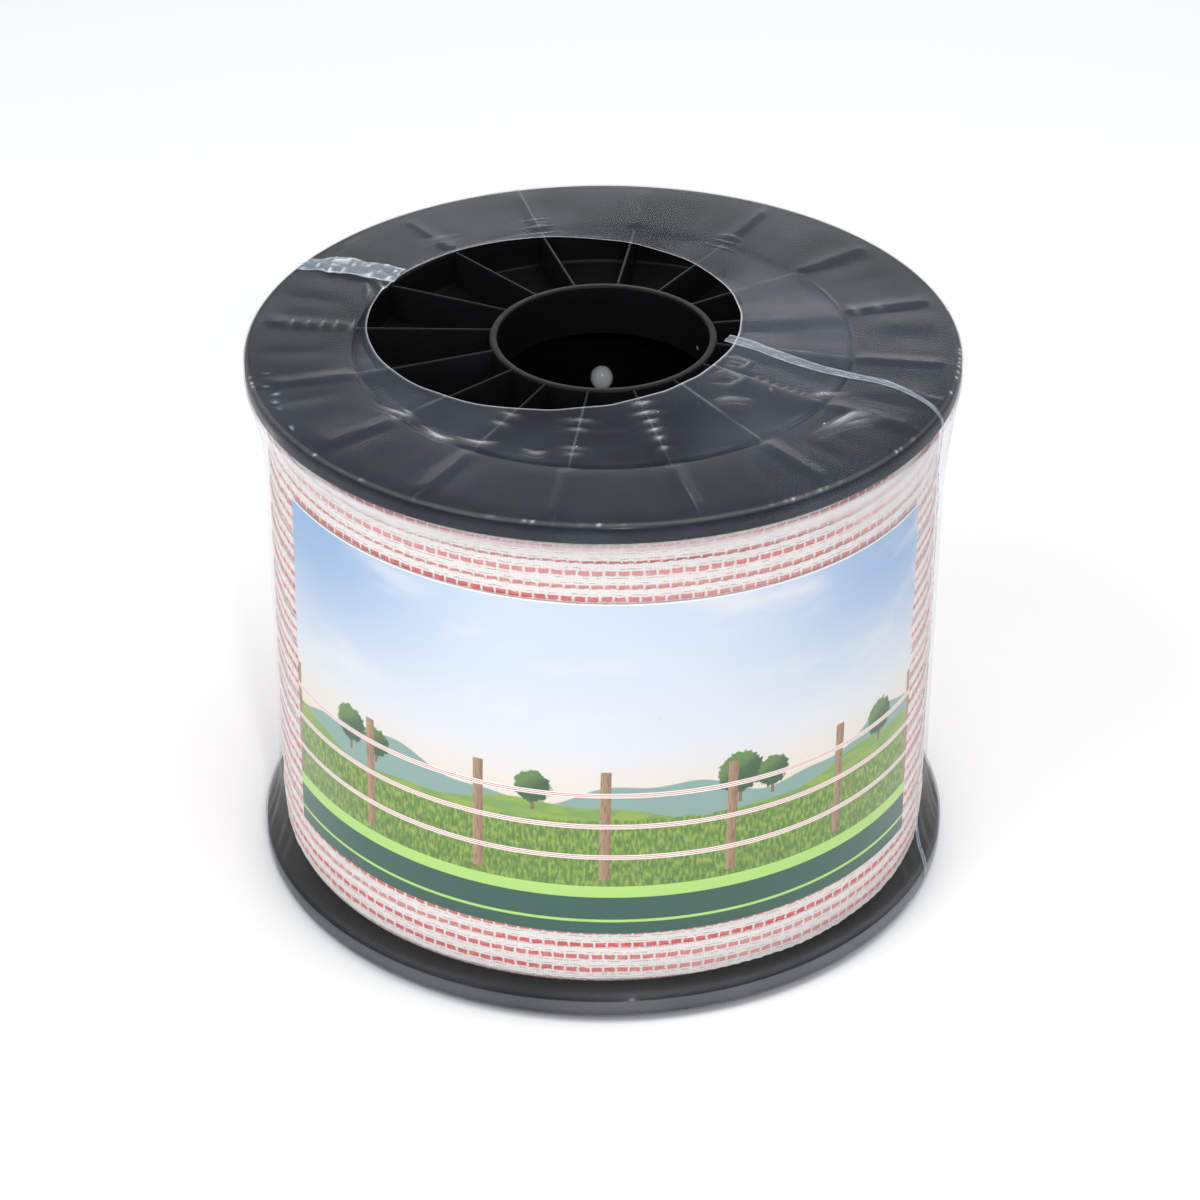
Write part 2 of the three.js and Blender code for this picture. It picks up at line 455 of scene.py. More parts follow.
@dataclass(frozen=True)
class WovenTape:
    """White woven tape with two dashed red stripes and fine steel wires. Its UV map is in millimetres."""

    white: Colour = (0.84, 0.79, 0.77)
    shade: Colour = (0.46, 0.37, 0.36)
    stain: Colour = (0.72, 0.60, 0.58)
    red: Colour = (0.60, 0.070, 0.078)
    pale_red: Colour = (0.70, 0.22, 0.215)
    wire: Colour = (0.20, 0.19, 0.20)
    width: float = 10.0
    stripe_offset: float = 2.15
    stripe_half: float = 0.74
    dash_period: float = 3.2
    dash_length: float = 2.7
    fade_length: float = 190.0
    warp_pitch: float = 0.62
    weft_pitch: float = 0.80
    wire_offsets: tuple[float, ...] = (-3.55, -0.75, 0.75, 3.55)

    def material(self, shared: SharedEffects) -> bpy.types.Material:
        """Builds the finish.

        Args:
            shared: the shared node groups.

        Returns:
            The material.
        """
        material, n, shader = new_material("woven_tape")
        flat = n.add("ShaderNodeUVMap", {"uv_map": "UVMap"}).outputs[0]
        along, across_raw, _ = n.split(flat)
        wobble = n.times(n.math("SUBTRACT", n.noise(flat, 0.35, 2.0), 0.5), 0.55)
        half_width = self.width / 2
        across = n.math("WRAP", n.total(across_raw, wobble), half_width, -half_width)
        warp = n.math("ABSOLUTE", n.math("SINE", n.times(across, math.pi / self.warp_pitch)))
        weft = n.math("ABSOLUTE", n.math("SINE", n.times(along, math.pi / self.weft_pitch)))
        weave = n.total(n.times(warp, 0.55), n.times(weft, 0.45))
        mottle = n.noise(n.join(n.times(along, 0.25), across), 1.3, 4.0)
        gaps = n.times(n.invert(n.step(weave, 0.12, 0.5)), n.step(mottle, 0.40, 0.62))
        cloth = n.mix(n.times(gaps, 0.75), self.white, self.shade)
        cloth = n.mix(n.times(n.step(mottle, 0.52, 0.75), 0.28), cloth, self.stain)
        for offset in self.wire_offsets:
            line = n.near(across, offset, 0.05, 0.09)
            broken = n.step(n.noise(n.join(n.times(along, 0.5), offset), 0.9, 1.0), 0.45, 0.55)
            cloth = n.mix(n.times(line, broken, 0.7), cloth, self.wire)
        stripe = self.stripe_mask(n, along, across)
        red = n.mix(n.step(mottle, 0.35, 0.75), self.red, self.pale_red)
        n.plug(shader.inputs["Base Color"], n.mix(stripe, cloth, red))
        height = n.total(weave, n.times(stripe, 0.35), n.times(mottle, 0.5))
        n.plug(shader.inputs["Normal"], n.bump(height, 0.7, 0.22))
        n.plug(shader.inputs["Roughness"], n.total(0.48, n.times(mottle, 0.2)))
        shader.inputs["Sheen Weight"].default_value = 0.12
        return material

    def stripe_mask(self, n: Nodes, along: object, across: object) -> bpy.types.NodeSocket:
        """The dashed red stripes.

        Args:
            n: the builder.
            along: distance along the tape.
            across: distance from the tape's middle.

        Returns:
            A mask that is 1 on the red yarns.
        """
        side = n.math("SUBTRACT", n.math("ABSOLUTE", across), self.stripe_offset)
        wander = n.times(n.math("SUBTRACT", n.noise(n.join(along, across), 0.8, 2.0), 0.5), 0.5)
        line = n.near(n.total(side, wander), 0.0, self.stripe_half * 0.8, 0.28)
        place = n.math("WRAP", n.total(along, n.times(wander, 1.5)), self.dash_period, 0.0)
        dash = n.near(place, self.dash_period / 2, self.dash_length / 2 - 0.18, 0.30)
        row = n.join(n.times(along, 1.0 / self.fade_length), n.math("SIGN", across))
        fade = n.step(n.noise(row, 1.0, 1.0), 0.36, 0.60)
        return n.times(line, dash, n.total(0.70, n.times(fade, 0.30)))


@dataclass(frozen=True)
class PrintedLabel:
    """A plain landscape print: sky, hills, meadow, fence and bands. Its UV map is in millimetres."""

    width: float
    height: float
    post_spacing: float = 32.0
    post_half: float = 1.25
    strand_shares: tuple[float, ...] = (0.24, 0.335, 0.43)
    strand_half: float = 0.62
    tree_places: tuple[tuple[float, float], ...] = (
        (-71.0, 5.2),
        (-62.0, 4.1),
        (-18.0, 4.6),
        (34.0, 6.0),
        (43.0, 4.4),
        (80.0, 5.0),
    )
    sky_blue: Colour = (0.200, 0.380, 0.640)
    sky_mid: Colour = (0.580, 0.660, 0.780)
    sky_pale: Colour = (0.740, 0.760, 0.790)
    cloud: Colour = (0.760, 0.760, 0.780)
    sky_warm: Colour = (0.820, 0.660, 0.440)
    far_hill: Colour = (0.230, 0.370, 0.330)
    near_hill: Colour = (0.180, 0.330, 0.075)
    grass: Colour = (0.080, 0.190, 0.022)
    grass_light: Colour = (0.270, 0.390, 0.060)
    grass_shade: Colour = (0.050, 0.130, 0.015)
    tree: Colour = (0.030, 0.095, 0.030)
    wood: Colour = (0.230, 0.130, 0.070)
    wood_light: Colour = (0.420, 0.270, 0.160)
    wood_dark: Colour = (0.100, 0.055, 0.030)
    tape: Colour = (0.900, 0.890, 0.860)
    tape_red: Colour = (0.600, 0.080, 0.070)
    band_dark: Colour = (0.010, 0.085, 0.060)
    band_light: Colour = (0.420, 0.680, 0.170)
    paper: Colour = (0.850, 0.860, 0.860)

    def material(self, shared: SharedEffects) -> bpy.types.Material:
        """Builds the print.

        Args:
            shared: the shared node groups.

        Returns:
            The material.
        """
        material, n, shader = new_material("printed_label")
        flat = n.add("ShaderNodeUVMap", {"uv_map": "UVMap"}).outputs[0]
        x, y, _ = n.split(flat)
        colour = self.sky(n, x, y)
        colour = self.hills(n, x, y, colour)
        colour = self.trees(n, x, y, colour)
        colour = self.meadow(n, x, y, colour)
        colour = self.fence(n, x, y, colour)
        colour = self.bands(n, x, y, colour)
        n.plug(shader.inputs["Base Color"], colour)
        grain = n.group(shared.grain, Vector=flat, Scale=1.2).outputs
        n.plug(shader.inputs["Roughness"], n.total(0.34, n.times(grain["Value"], 0.18)))
        n.plug(shader.inputs["Normal"], n.bump(grain["Height"], 0.12, 0.05))
        shader.inputs["Coat Weight"].default_value = 0.25
        return material

    def sky(self, n: Nodes, x: object, y: object) -> object:
        """Blue at the top and the sides, pale in the middle, warm at the horizon, with soft clouds."""
        side = n.step(n.math("ABSOLUTE", x), self.width * 0.10, self.width * 0.5)
        rise = n.step(y, self.height * 0.34, self.height * 1.02)
        colour = n.mix(rise, self.sky_pale, self.sky_mid)
        colour = n.mix(n.times(n.step(y, self.height * 0.5, self.height), side), colour, self.sky_blue)
        low = n.invert(n.step(y, self.height * 0.30, self.height * 0.62))
        colour = n.mix(n.times(low, 0.8), colour, self.sky_warm)
        drift = n.noise(n.join(n.times(x, 0.022), n.times(y, 0.06)), 1.0, 5.0)
        clouds = n.times(n.step(drift, 0.50, 0.72), n.step(y, self.height * 0.45, self.height * 0.7), 0.75)
        return n.mix(clouds, colour, self.cloud)

    def ridge(self, n: Nodes, x: object, level: float, waves: tuple[Wave, ...]) -> object:
        """A wavy skyline.

        Args:
            n: the builder.
            x: distance along the label.
            level: mean height.
            waves: height, length and phase of each wave.

        Returns:
            The skyline's height at x.
        """
        line = level
        for tall, length, phase in waves:
            swing = n.math("SINE", n.total(n.times(x, 2 * math.pi / length), phase))
            line = n.total(line, n.times(swing, tall))
        return line

    def below(self, n: Nodes, y: object, line: object, soft: float = 0.25) -> object:
        """A mask of what lies under a line."""
        return n.invert(n.step(n.math("SUBTRACT", y, line), -soft, soft))

    def hills(self, n: Nodes, x: object, y: object, colour: object) -> object:
        """Two rows of rolling hills."""
        far = self.ridge(n, x, self.height * 0.43, ((3.2, 71.0, 0.4), (1.1, 27.0, 1.9)))
        near = self.ridge(n, x, self.height * 0.375, ((2.6, 96.0, 2.6), (0.7, 31.0, 0.2)))
        colour = n.mix(self.below(n, y, far), colour, self.far_hill)
        patch = n.noise(n.join(n.times(x, 0.10), n.times(y, 0.4)), 1.0, 3.0)
        field = n.mix(n.step(patch, 0.4, 0.6), self.near_hill, self.grass_light)
        return n.mix(self.below(n, y, near), colour, field)

    def trees(self, n: Nodes, x: object, y: object, colour: object) -> object:
        """A few round trees on the nearer hill, their edges broken up by noise."""
        rough = n.times(n.math("SUBTRACT", n.noise(n.join(x, y), 0.75, 3.0), 0.5), 3.2)
        foot = self.height * 0.385
        for place, size in self.tree_places:
            dx = n.math("SUBTRACT", x, place)
            dy = n.math("SUBTRACT", y, foot + size * 1.25)
            away = n.math("SQRT", n.total(n.times(dx, dx), n.times(dy, dy)))
            crown = n.invert(n.step(n.total(away, rough), size - 0.3, size + 0.3))
            trunk = n.times(n.near(dx, 0.0, 0.35, 0.2), n.near(y, foot + size * 0.3, size * 0.5, 0.3))
            light = n.step(n.total(dy, n.times(dx, -0.6), rough), -1.0, 4.0)
            leaves = n.mix(n.times(light, 0.55), self.tree, self.near_hill)
            colour = n.mix(trunk, colour, self.wood)
            colour = n.mix(crown, colour, leaves)
        return colour

    def meadow(self, n: Nodes, x: object, y: object, colour: object) -> object:
        """The meadow in front, with blades that grow larger towards the bottom."""
        top = self.ridge(n, x, self.height * 0.345, ((1.0, 140.0, 1.1), (0.25, 9.0, 0.0)))
        depth = n.step(y, self.height * 0.36, self.height * 0.05)
        blades = n.noise(n.join(n.times(x, 1.3), n.times(y, 0.42)), 1.0, 6.0)
        tufts = n.noise(n.join(n.times(x, 0.16), n.times(y, 0.40)), 1.0, 4.0)
        green = n.mix(n.step(blades, 0.38, 0.66), self.grass, self.grass_light)
        green = n.mix(n.times(n.step(tufts, 0.45, 0.7), depth, 0.6), green, self.grass_shade)
        return n.mix(self.below(n, y, top, 0.5), colour, green)

    def fence(self, n: Nodes, x: object, y: object, colour: object) -> object:
        """Round posts at even spaces with three strands of striped tape."""
        place = n.math("WRAP", n.total(x, self.post_spacing / 2), self.post_spacing, 0.0)
        off_post = n.math("SUBTRACT", place, self.post_spacing / 2)
        low, high = self.height * 0.17, self.height * 0.50
        upright = n.times(n.step(y, low - 0.3, low), n.invert(n.step(y, high, high + 0.3)))
        post = n.times(n.near(off_post, 0.0, self.post_half, 0.15), upright)
        roundness = n.step(off_post, -1.6, 1.6)
        bark = n.noise(n.join(n.times(x, 2.2), n.times(y, 0.25)), 1.0, 4.0)
        wood = n.mix(n.times(roundness, 0.75), self.wood_light, self.wood)
        wood = n.mix(n.times(n.step(bark, 0.5, 0.62), 0.5), wood, self.wood_dark)
        colour = n.mix(post, colour, wood)
        for share in self.strand_shares:
            line = n.math("SUBTRACT", y, self.height * share)
            strand = n.near(line, 0.0, self.strand_half, 0.12)
            stripe = n.near(n.math("ABSOLUTE", line), 0.26, 0.07, 0.06)
            colour = n.mix(strand, colour, n.mix(stripe, self.tape, self.tape_red))
        return colour

    def bands(self, n: Nodes, x: object, y: object, colour: object) -> object:
        """A dark band with a light strip along the bottom, and a thin light line at the top."""
        dark = self.below(n, y, self.height * 0.115, 0.1)
        light = n.near(y, self.height * 0.132, self.height * 0.017, 0.1)
        thin = n.near(y, self.height * 0.040, 0.35, 0.1)
        colour = n.mix(dark, colour, self.band_dark)
        colour = n.mix(light, colour, self.band_light)
        colour = n.mix(thin, colour, self.band_light)
        edge = n.math("SUBTRACT", self.height, y)
        return n.mix(n.near(edge, 0.0, 0.35, 0.1), colour, self.paper)


@dataclass(frozen=True)
class ClearFilm:
    """Clear shrink film: a bluish painted sheen where it lies on black plastic, clear on the tape, milky in
    its folds, with painted highlights on its folds and edges.
    """

    name: str = "shrink_film_clear"
    # The bluish colours below are painted sheen: the film's reflection of the room, painted as a bluish
    # diffuse colour, lighter over the pockets.
    veil_sheen_colour: Colour = (0.064, 0.088, 0.128)
    pocket_sheen_colour: Colour = (0.175, 0.205, 0.255)
    wall_colour: Colour = (0.800, 0.780, 0.800)
    # The white below is the colour of the film's folds and of its painted glints and highlights.
    crease_and_glint_colour: Colour = (0.90, 0.93, 0.96)
    veil_sheen_alpha: float = 0.21
    clear_alpha: float = 0.022
    haze_alpha: float = 0.62
    most_alpha: float = 0.92
    crease_and_glint_alpha: float = 0.60
    # The grazing-angle share below is painted sheen: the film grows lighter and more opaque towards its
    # outline.
    limb_sheen_alpha: float = 0.55
    line_alpha: float = 0.10
    roughness: float = 0.10
    index: float = 1.58
    line_half: float = 0.16
    ring_radius: float = 63.0
    cap_height: float = 144.5
    first_fin: float = -7.5
    fin_count: int = 16

    def material(self, shared: SharedEffects) -> bpy.types.Material:
        """Builds the finish from three mesh values: how much painted sheen the film shows on plastic, its
        haze, and its folds with their painted glints.

        Args:
            shared: the shared node groups.

        Returns:
            The material.
        """
        material, n, shader = new_material(self.name)
        place = n.add("ShaderNodeTexCoord").outputs["Object"]
        haze, crease, backing = (n.attribute(key) for key in ("haze", "crease", "backing"))
        grain = n.group(shared.grain, Vector=place, Scale=38.0, Stretch=0.4).outputs
        sheen_patches = n.step(n.noise(place, 17.0, 3.0), 0.30, 0.72)
        specks = n.group(shared.specks, Vector=place, Scale=150.0, Share=0.09, Radius=0.06).outputs[0]
        facing = n.add("ShaderNodeLayerWeight", Blend=0.30).outputs["Facing"]
        lines = self.lines(n, place)
        # Painted sheen: where the film lies on black plastic, a patchy bluish diffuse layer stands in for its
        # reflection of the room.
        unevenness = n.total(0.30, sheen_patches, n.times(grain["Value"], 0.3))
        veil_sheen = n.times(backing, unevenness, self.veil_sheen_alpha)
        # Painted sheen at grazing angles.
        limb_sheen = n.times(n.math("POWER", facing, 3.5), self.limb_sheen_alpha)
        milky = n.times(haze, n.total(0.70, n.times(grain["Value"], 0.6)), self.haze_alpha)
        open_part = n.times(n.invert(backing), n.total(self.clear_alpha, milky, limb_sheen))
        # Painted highlights on fold ridges, rim sparkles, seam glints and the rib lines, with real dust
        # specks, turn the film white and more opaque.
        crease_glints = n.times(crease, self.crease_and_glint_alpha)
        marks = n.total(crease_glints, n.times(lines, self.line_alpha), n.times(specks, 0.5))
        alpha = n.total(veil_sheen, open_part, n.times(backing, n.times(limb_sheen, 0.5)), marks)
        n.plug(shader.inputs["Alpha"], n.math("MINIMUM", alpha, self.most_alpha))
        x, y, _ = n.split(place)
        radius = n.math("SQRT", n.total(n.times(x, x), n.times(y, y)))
        # The painted sheen is lighter over the pockets.
        over_pocket = n.invert(n.step(radius, self.ring_radius * 0.97 * MM, self.ring_radius * MM))
        veil_sheen_here = n.mix(over_pocket, self.veil_sheen_colour, self.pocket_sheen_colour)
        base = n.mix(backing, self.wall_colour, veil_sheen_here)
        white = n.math("MINIMUM", n.total(crease, specks, n.times(lines, 0.30)), 1.0)
        n.plug(shader.inputs["Base Color"], n.mix(white, base, self.crease_and_glint_colour))
        n.plug(shader.inputs["Roughness"], n.total(self.roughness, n.times(grain["Value"], 0.12)))
        relief = n.total(n.times(grain["Value"], 0.4), n.times(lines, 0.8))
        n.plug(shader.inputs["Normal"], n.bump(relief, 0.25, 0.22))
        shader.inputs["IOR"].default_value = self.index
        return material

    def lines(self, n: Nodes, place: object) -> bpy.types.NodeSocket:
        """Thin painted highlights on the cap where the film bends over the ribs and over the pockets' outer
        edge.

        Args:
            n: the builder.
            place: object coordinates in metres.

        Returns:
            A broken-up mask of the lines.
        """
        scaled = n.add("ShaderNodeVectorMath", {"operation": "SCALE"}, Vector=place, Scale=1 / MM)
        x, y, z = n.split(scaled.outputs[0])
        radius = n.math("SQRT", n.total(n.times(x, x), n.times(y, y)))
        half_pitch = math.pi / self.fin_count
        turn = n.math("SUBTRACT", n.math("ARCTAN2", y, x), math.radians(self.first_fin))
        off_fin = n.times(n.math("WRAP", turn, half_pitch, -half_pitch), radius)
        along_fin = n.near(off_fin, 0.0, self.line_half, 0.30)
        ring = n.near(radius, self.ring_radius, self.line_half, 0.55)
        broken = n.step(n.noise(place, 38.0, 3.0), 0.42, 0.66)
        on_cap = n.step(z, self.cap_height - 0.3, self.cap_height)
        both = n.math("MAXIMUM", n.times(along_fin, 0.9), n.times(ring, 0.6))
        return n.times(both, broken, on_cap)


@dataclass
class SpoolHalf:
    """One moulding of the spool: flange, rim, fins, web, collar and half of the barrel."""

    end: End
    rim_plane: float
    flange_radius: float
    flange_thickness: float = 5.3
    rim_round: float = 1.2
    collar_radius: float = 28.7
    collar_wall: float = 2.1
    collar_proud: float = 2.0
    barrel_radius: float = 65.2
    barrel_wall: float = 2.2
    pocket_depth: float = 9.4
    web_thickness: float = 2.0
    half_length: float = 71.5
    fin_count: int = 16
    fin_thickness: float = 1.5
    fin_top: float = 0.8
    first_fin: float = -7.5
    rib_height: float = 0.30
    rib_width: float = 1.4
    edge_round: float = 0.45
    sides: int = 224

    @property
    def barrel_bore(self) -> float:
        """Radius of the barrel's inside, which is also the pockets' outer wall."""
        return self.barrel_radius - self.barrel_wall

    @property
    def collar_bore(self) -> float:
        """Radius of the axle bore."""
        return self.collar_radius - self.collar_wall

    def place(self, points: np.ndarray) -> np.ndarray:
        """Moves points from the moulding's frame, rim plane at 0 and barrel down, to its end of the reel.

        Args:
            points: points in the moulding's frame.

        Returns:
            Points in the reel's frame.
        """
        placed = np.array(points, float)
        if self.end is End.LOWER:
            placed[:, 1:] *= -1.0
        placed[:, 2] += self.rim_plane
        return placed

    def outline(self) -> Outline:
        """The turned body's outline as radius and height, with its visible edges rounded."""
        web_top = -self.pocket_depth
        web_under = web_top - self.web_thickness
        e = self.edge_round
        bore, outer = self.collar_bore, self.collar_radius
        rim = self.flange_radius - self.rim_round
        points: Outline = [(bore, web_under)]
        points += arc(bore + e, self.collar_proud - e, e, 180, 90)
        points += arc(outer - e, self.collar_proud - e, e, 90, 0)
        points += arc(outer + e * 2, web_top + e * 2, e * 2, 180, 270)
        points += arc(self.barrel_bore - e * 2, web_top + e * 2, e * 2, 270, 360)
        points += arc(self.barrel_bore + e, -e, e, 180, 90)
        points += arc(rim, -self.rim_round, self.rim_round, 90, 0, 6)
        points += arc(rim, self.rim_round - self.flange_thickness, self.rim_round, 0, -90, 6)
        points += [(self.barrel_radius, -self.flange_thickness), (self.barrel_radius, -self.half_length)]
        points += [(self.barrel_bore, -self.half_length), (self.barrel_bore, web_under)]
        return points

    def fin(self, angle: float) -> tuple[np.ndarray, list[list[int]]]:
        """One fin with a rounded top edge.

        Args:
            angle: its direction in degrees.

        Returns:
            Its points and faces.
        """
        foot_half = self.fin_thickness / 2
        half = self.fin_top / 2
        inner = self.collar_radius - self.collar_wall / 2
        outer = self.barrel_bore + self.barrel_wall / 2
        foot = -self.pocket_depth - self.web_thickness / 2
        stations = [inner, self.collar_radius, self.barrel_bore, outer]
        tops = [self.collar_proud - 0.05, self.collar_proud - 0.05, -0.05, -0.05]
        r = self.fin_top * 0.35
        section = [(-foot_half, foot), (-foot_half + 0.05, foot + 3.0)]
        ring = []
        for station, top in zip(stations, tops):
            round_top = [(half - r + r * math.cos(t), top - r + r * math.sin(t)) for t in QUARTER]
            left = [(-s, h) for s, h in reversed(round_top)]
            right = [(-s, h) for s, h in reversed(section)]
            ring.append([(station, s, h) for s, h in [*section, *left, *round_top, *right]])
        points = np.array(ring, float).reshape(-1, 3)
        around = len(ring[0])
        faces = grid_faces(len(ring), around, True).tolist()
        faces.append(list(range(around))[::-1])
        faces.append(list(range(len(points) - around, len(points))))
        turn = math.radians(angle)
        rotated = points.copy()
        rotated[:, 0] = points[:, 0] * math.cos(turn) - points[:, 1] * math.sin(turn)
        rotated[:, 1] = points[:, 0] * math.sin(turn) + points[:, 1] * math.cos(turn)
        return rotated, faces

    def fin_angles(self) -> list[float]:
        """Directions of the fins in the moulding's frame, in degrees."""
        return [self.first_fin + 360.0 * i / self.fin_count for i in range(self.fin_count)]

    def build(self, material: bpy.types.Material) -> bpy.types.Object:
        """Makes the moulding.

        Args:
            material: the plastic.

        Returns:
            The piece.
        """
        outline = np.array(self.outline(), float)
        dense = refine(outline, 6.0)
        angles = np.radians(np.arange(self.sides) * 360.0 / self.sides)
        rows = len(dense)
        points = np.empty((rows, self.sides, 3))
        points[:, :, 0] = dense[:, 0:1] * np.cos(angles)
        points[:, :, 1] = dense[:, 0:1] * np.sin(angles)
        points[:, :, 2] = dense[:, 1:2]
        self.raise_ribs(points, np.degrees(angles))
        faces = grid_faces(rows, self.sides, True)
        closing = grid_faces(2, self.sides, True)
        closing = np.where(closing < self.sides, closing + (rows - 1) * self.sides, closing - self.sides)
        groups = [(points.reshape(-1, 3), np.vstack([faces, closing])[:, ::-1].tolist())]
        groups += [self.fin(angle) for angle in self.fin_angles()]
        all_points, all_faces = merge(groups)
        placed = self.place(all_points)
        name = f"{self.end.name.lower()}_moulding"
        piece = make_piece(name, placed, all_faces, material)
        crisp(piece, 35.0)
        hand_over(piece, Slot.SPOOL, f"{self.end.name.lower()}_spool_half")
        return piece

    def raise_ribs(self, points: np.ndarray, angles: np.ndarray) -> None:
        """Lifts low radial ribs on the flange's outer face, in line with the fins.

        Args:
            points: the turned body's grid of points, changed in place.
            angles: the grid's directions in degrees.
        """
        radius = np.hypot(points[:, :, 0], points[:, :, 1])
        on_face = (points[:, :, 2] > -0.01) & (radius > self.barrel_bore)
        span = smooth(self.barrel_bore + 0.5, self.barrel_bore + 3.0, radius)
        span *= 1.0 - smooth(self.flange_radius - 6.0, self.flange_radius - 3.0, radius)
        for fin_angle in self.fin_angles():
            sideways = radius * np.radians(turn_gap(angles, fin_angle))[None, :]
            rise = span * bell(sideways, self.rib_width) * self.rib_height
            points[:, :, 2] += np.where(on_face, rise, 0.0)


QUARTER = tuple(math.radians(a) for a in (90.0, 60.0, 30.0, 0.0))


def arc(x: float, y: float, size: float, start: float, stop: float, steps: int = 4) -> Outline:
    """Points of a round edge, from one direction in degrees to another."""
    angles = [math.radians(start + (stop - start) * i / steps) for i in range(steps + 1)]
    return [(x + size * math.cos(a), y + size * math.sin(a)) for a in angles]


def refine(outline: np.ndarray, longest: float) -> np.ndarray:
    """Adds points to an outline's long straight stretches.

    Args:
        outline: points of an open or closed outline.
        longest: the longest stretch left between two points.

    Returns:
        The outline with the added points.
    """
    result = []
    for here, after in zip(outline[:-1], outline[1:]):
        pieces = max(1, math.ceil(float(np.linalg.norm(after - here)) / longest))
        result += [here + (after - here) * k / pieces for k in range(pieces)]
    result.append(outline[-1])
    return np.array(result)


def merge(groups: list[tuple[np.ndarray, list]]) -> tuple[np.ndarray, list]:
    """Joins several sets of points and faces into one.

    Args:
        groups: pairs of points and faces.

    Returns:
        All the points and all the faces.
    """
    points, faces, start = [], [], 0
    for group_points, group_faces in groups:
        points.append(group_points)
        faces += [[index + start for index in face] for face in group_faces]
        start += len(group_points)
    return np.vstack(points), faces


@dataclass
class TapeWinding:
    """The outer layer of tape as one long ribbon wound round a core of the layers below it."""

    radius: float
    bottom: float
    top: float
    bore: float
    tape_width: float = 10.0
    thickness: float = 0.36
    shingle_rise: float = 0.55
    rows: int = 16
    row_turns: tuple[float, ...] = (-1.0, 0.0, 1.0, 13.0, 14.0, 15.0, 16.0)
    row_heights: tuple[float, ...] = (6.4, 14.35, 22.25, 119.95, 127.0, 135.2, 143.0)
    dash_period: float = 3.2
    steps_a_dash: int = 3
    across_steps: int = 8
    scallop: float = 0.16
    spare_turns: float = 0.62
    edge_margin: float = 0.15
    crown: float = 0.10
    unevenness: float = 0.07
    core_round: float = 2.2
    core_sides: int = 160

    def build(self, material: bpy.types.Material) -> None:
        """Makes the ribbon and the core.

        Args:
            material: the woven tape.
        """
        self.build_core(material)
        self.build_ribbon(material)

    def ribbon_middle(self, turns: np.ndarray) -> np.ndarray:
        """Height of the ribbon's middle after a number of turns up from the first row at the front.

        Args:
            turns: turns from the front of the first row, negative before it.

        Returns:
            Heights, kept between the flanges.
        """
        low = self.bottom + self.tape_width / 2
        high = self.top - self.tape_width / 2
        height = np.interp(turns, self.row_turns, self.row_heights)
        soft = 1.2
        height = low + soft * np.logaddexp(0.0, (height - low) / soft)
        return high - soft * np.logaddexp(0.0, (high - height) / soft)

    def build_ribbon(self, material: bpy.types.Material) -> None:
        """The wound ribbon, with scalloped edges and each turn's upper edge lying over the next turn up."""
        round_length = 2 * math.pi * self.radius
        step = self.dash_period / self.steps_a_dash
        start, stop = -self.spare_turns, self.rows - 1 + self.spare_turns
        count = int((stop - start) * round_length / step)
        turns = np.linspace(start, stop, count)
        degrees = -90.0 - turns * 360.0
        along = turns * round_length
        across = np.linspace(-1.0, 1.0, self.across_steps + 1)
        wave = np.cos(2 * math.pi * along / self.dash_period)
        wander = 0.22 * np.sin(along / 37.0 + 0.7) + 0.16 * np.sin(along / 17.3 + 2.1)
        half = self.tape_width / 2 - self.edge_margin
        half_here = half + self.scallop * wave + 0.08 * np.sin(along / 5.1)
        middle = self.ribbon_middle(turns) + wander
        base = self.radius - self.shingle_rise - self.thickness - 0.10
        top_points = self.ribbon_points(degrees, middle, half_here, across, base + self.thickness)
        low_points = self.ribbon_points(degrees, middle, half_here, across, base)
        columns = self.across_steps + 1
        size = count * columns
        upper = grid_faces(count, columns, False)
        lower = upper[:, ::-1] + size
        rim = self.side_faces(count, columns, size)
        uv_one = np.stack([np.repeat(along, columns), np.tile(across * self.tape_width / 2, count)], axis=1)
        points = np.vstack([top_points, low_points])
        faces = np.vstack([upper, lower, rim])
        uv = np.vstack([uv_one, uv_one])
        piece = make_piece("tape_outer_layer", points, faces[:, ::-1], material, uv)
        crisp(piece, 60.0)
        hand_over(piece, Slot.TAPE)

    def ribbon_points(
        self,
        degrees: np.ndarray,
        middle: np.ndarray,
        half: np.ndarray,
        across: np.ndarray,
        base: float,
    ) -> np.ndarray:
        """One face of the ribbon.

        Args:
            degrees: direction at each step.
            middle: height of the ribbon's middle at each step.
            half: half width at each step.
            across: places across the ribbon, from -1 at the lower edge to 1 at the upper.
            base: radius of the face at the lower edge.

        Returns:
            Points step by step.
        """
        rise = self.shingle_rise * smooth(-1.0, 1.0, across)
        crown = self.crown * (1.0 - across**2)
        lift = self.unevenness * ripples(degrees, (37, 61, 83), 5)[:, None]
        radius = base + rise[None, :] + crown[None, :] + lift
        turn = np.radians(degrees)[:, None]
        height = middle[:, None] + half[:, None] * across[None, :]
        return np.stack([radius * np.cos(turn), radius * np.sin(turn), height], axis=-1).reshape(-1, 3)

    def side_faces(self, count: int, columns: int, size: int) -> np.ndarray:
        """Quads that join the ribbon's two faces along both edges and across both ends.

        Args:
            count: steps along the ribbon.
            columns: points across it.
            size: number of points of one face.

        Returns:
            The quads.
        """
        along = np.arange(count - 1) * columns
        near, far = along, along + columns - 1
        first = np.stack([near, near + size, near + columns + size, near + columns], axis=1)
        second = np.stack([far, far + columns, far + columns + size, far + size], axis=1)
        across = np.arange(columns - 1)
        last = (count - 1) * columns + across
        start = np.stack([across, across + 1, across + 1 + size, across + size], axis=1)
        stop = np.stack([last, last + size, last + 1 + size, last + 1], axis=1)
        return np.vstack([first, second, start, stop])

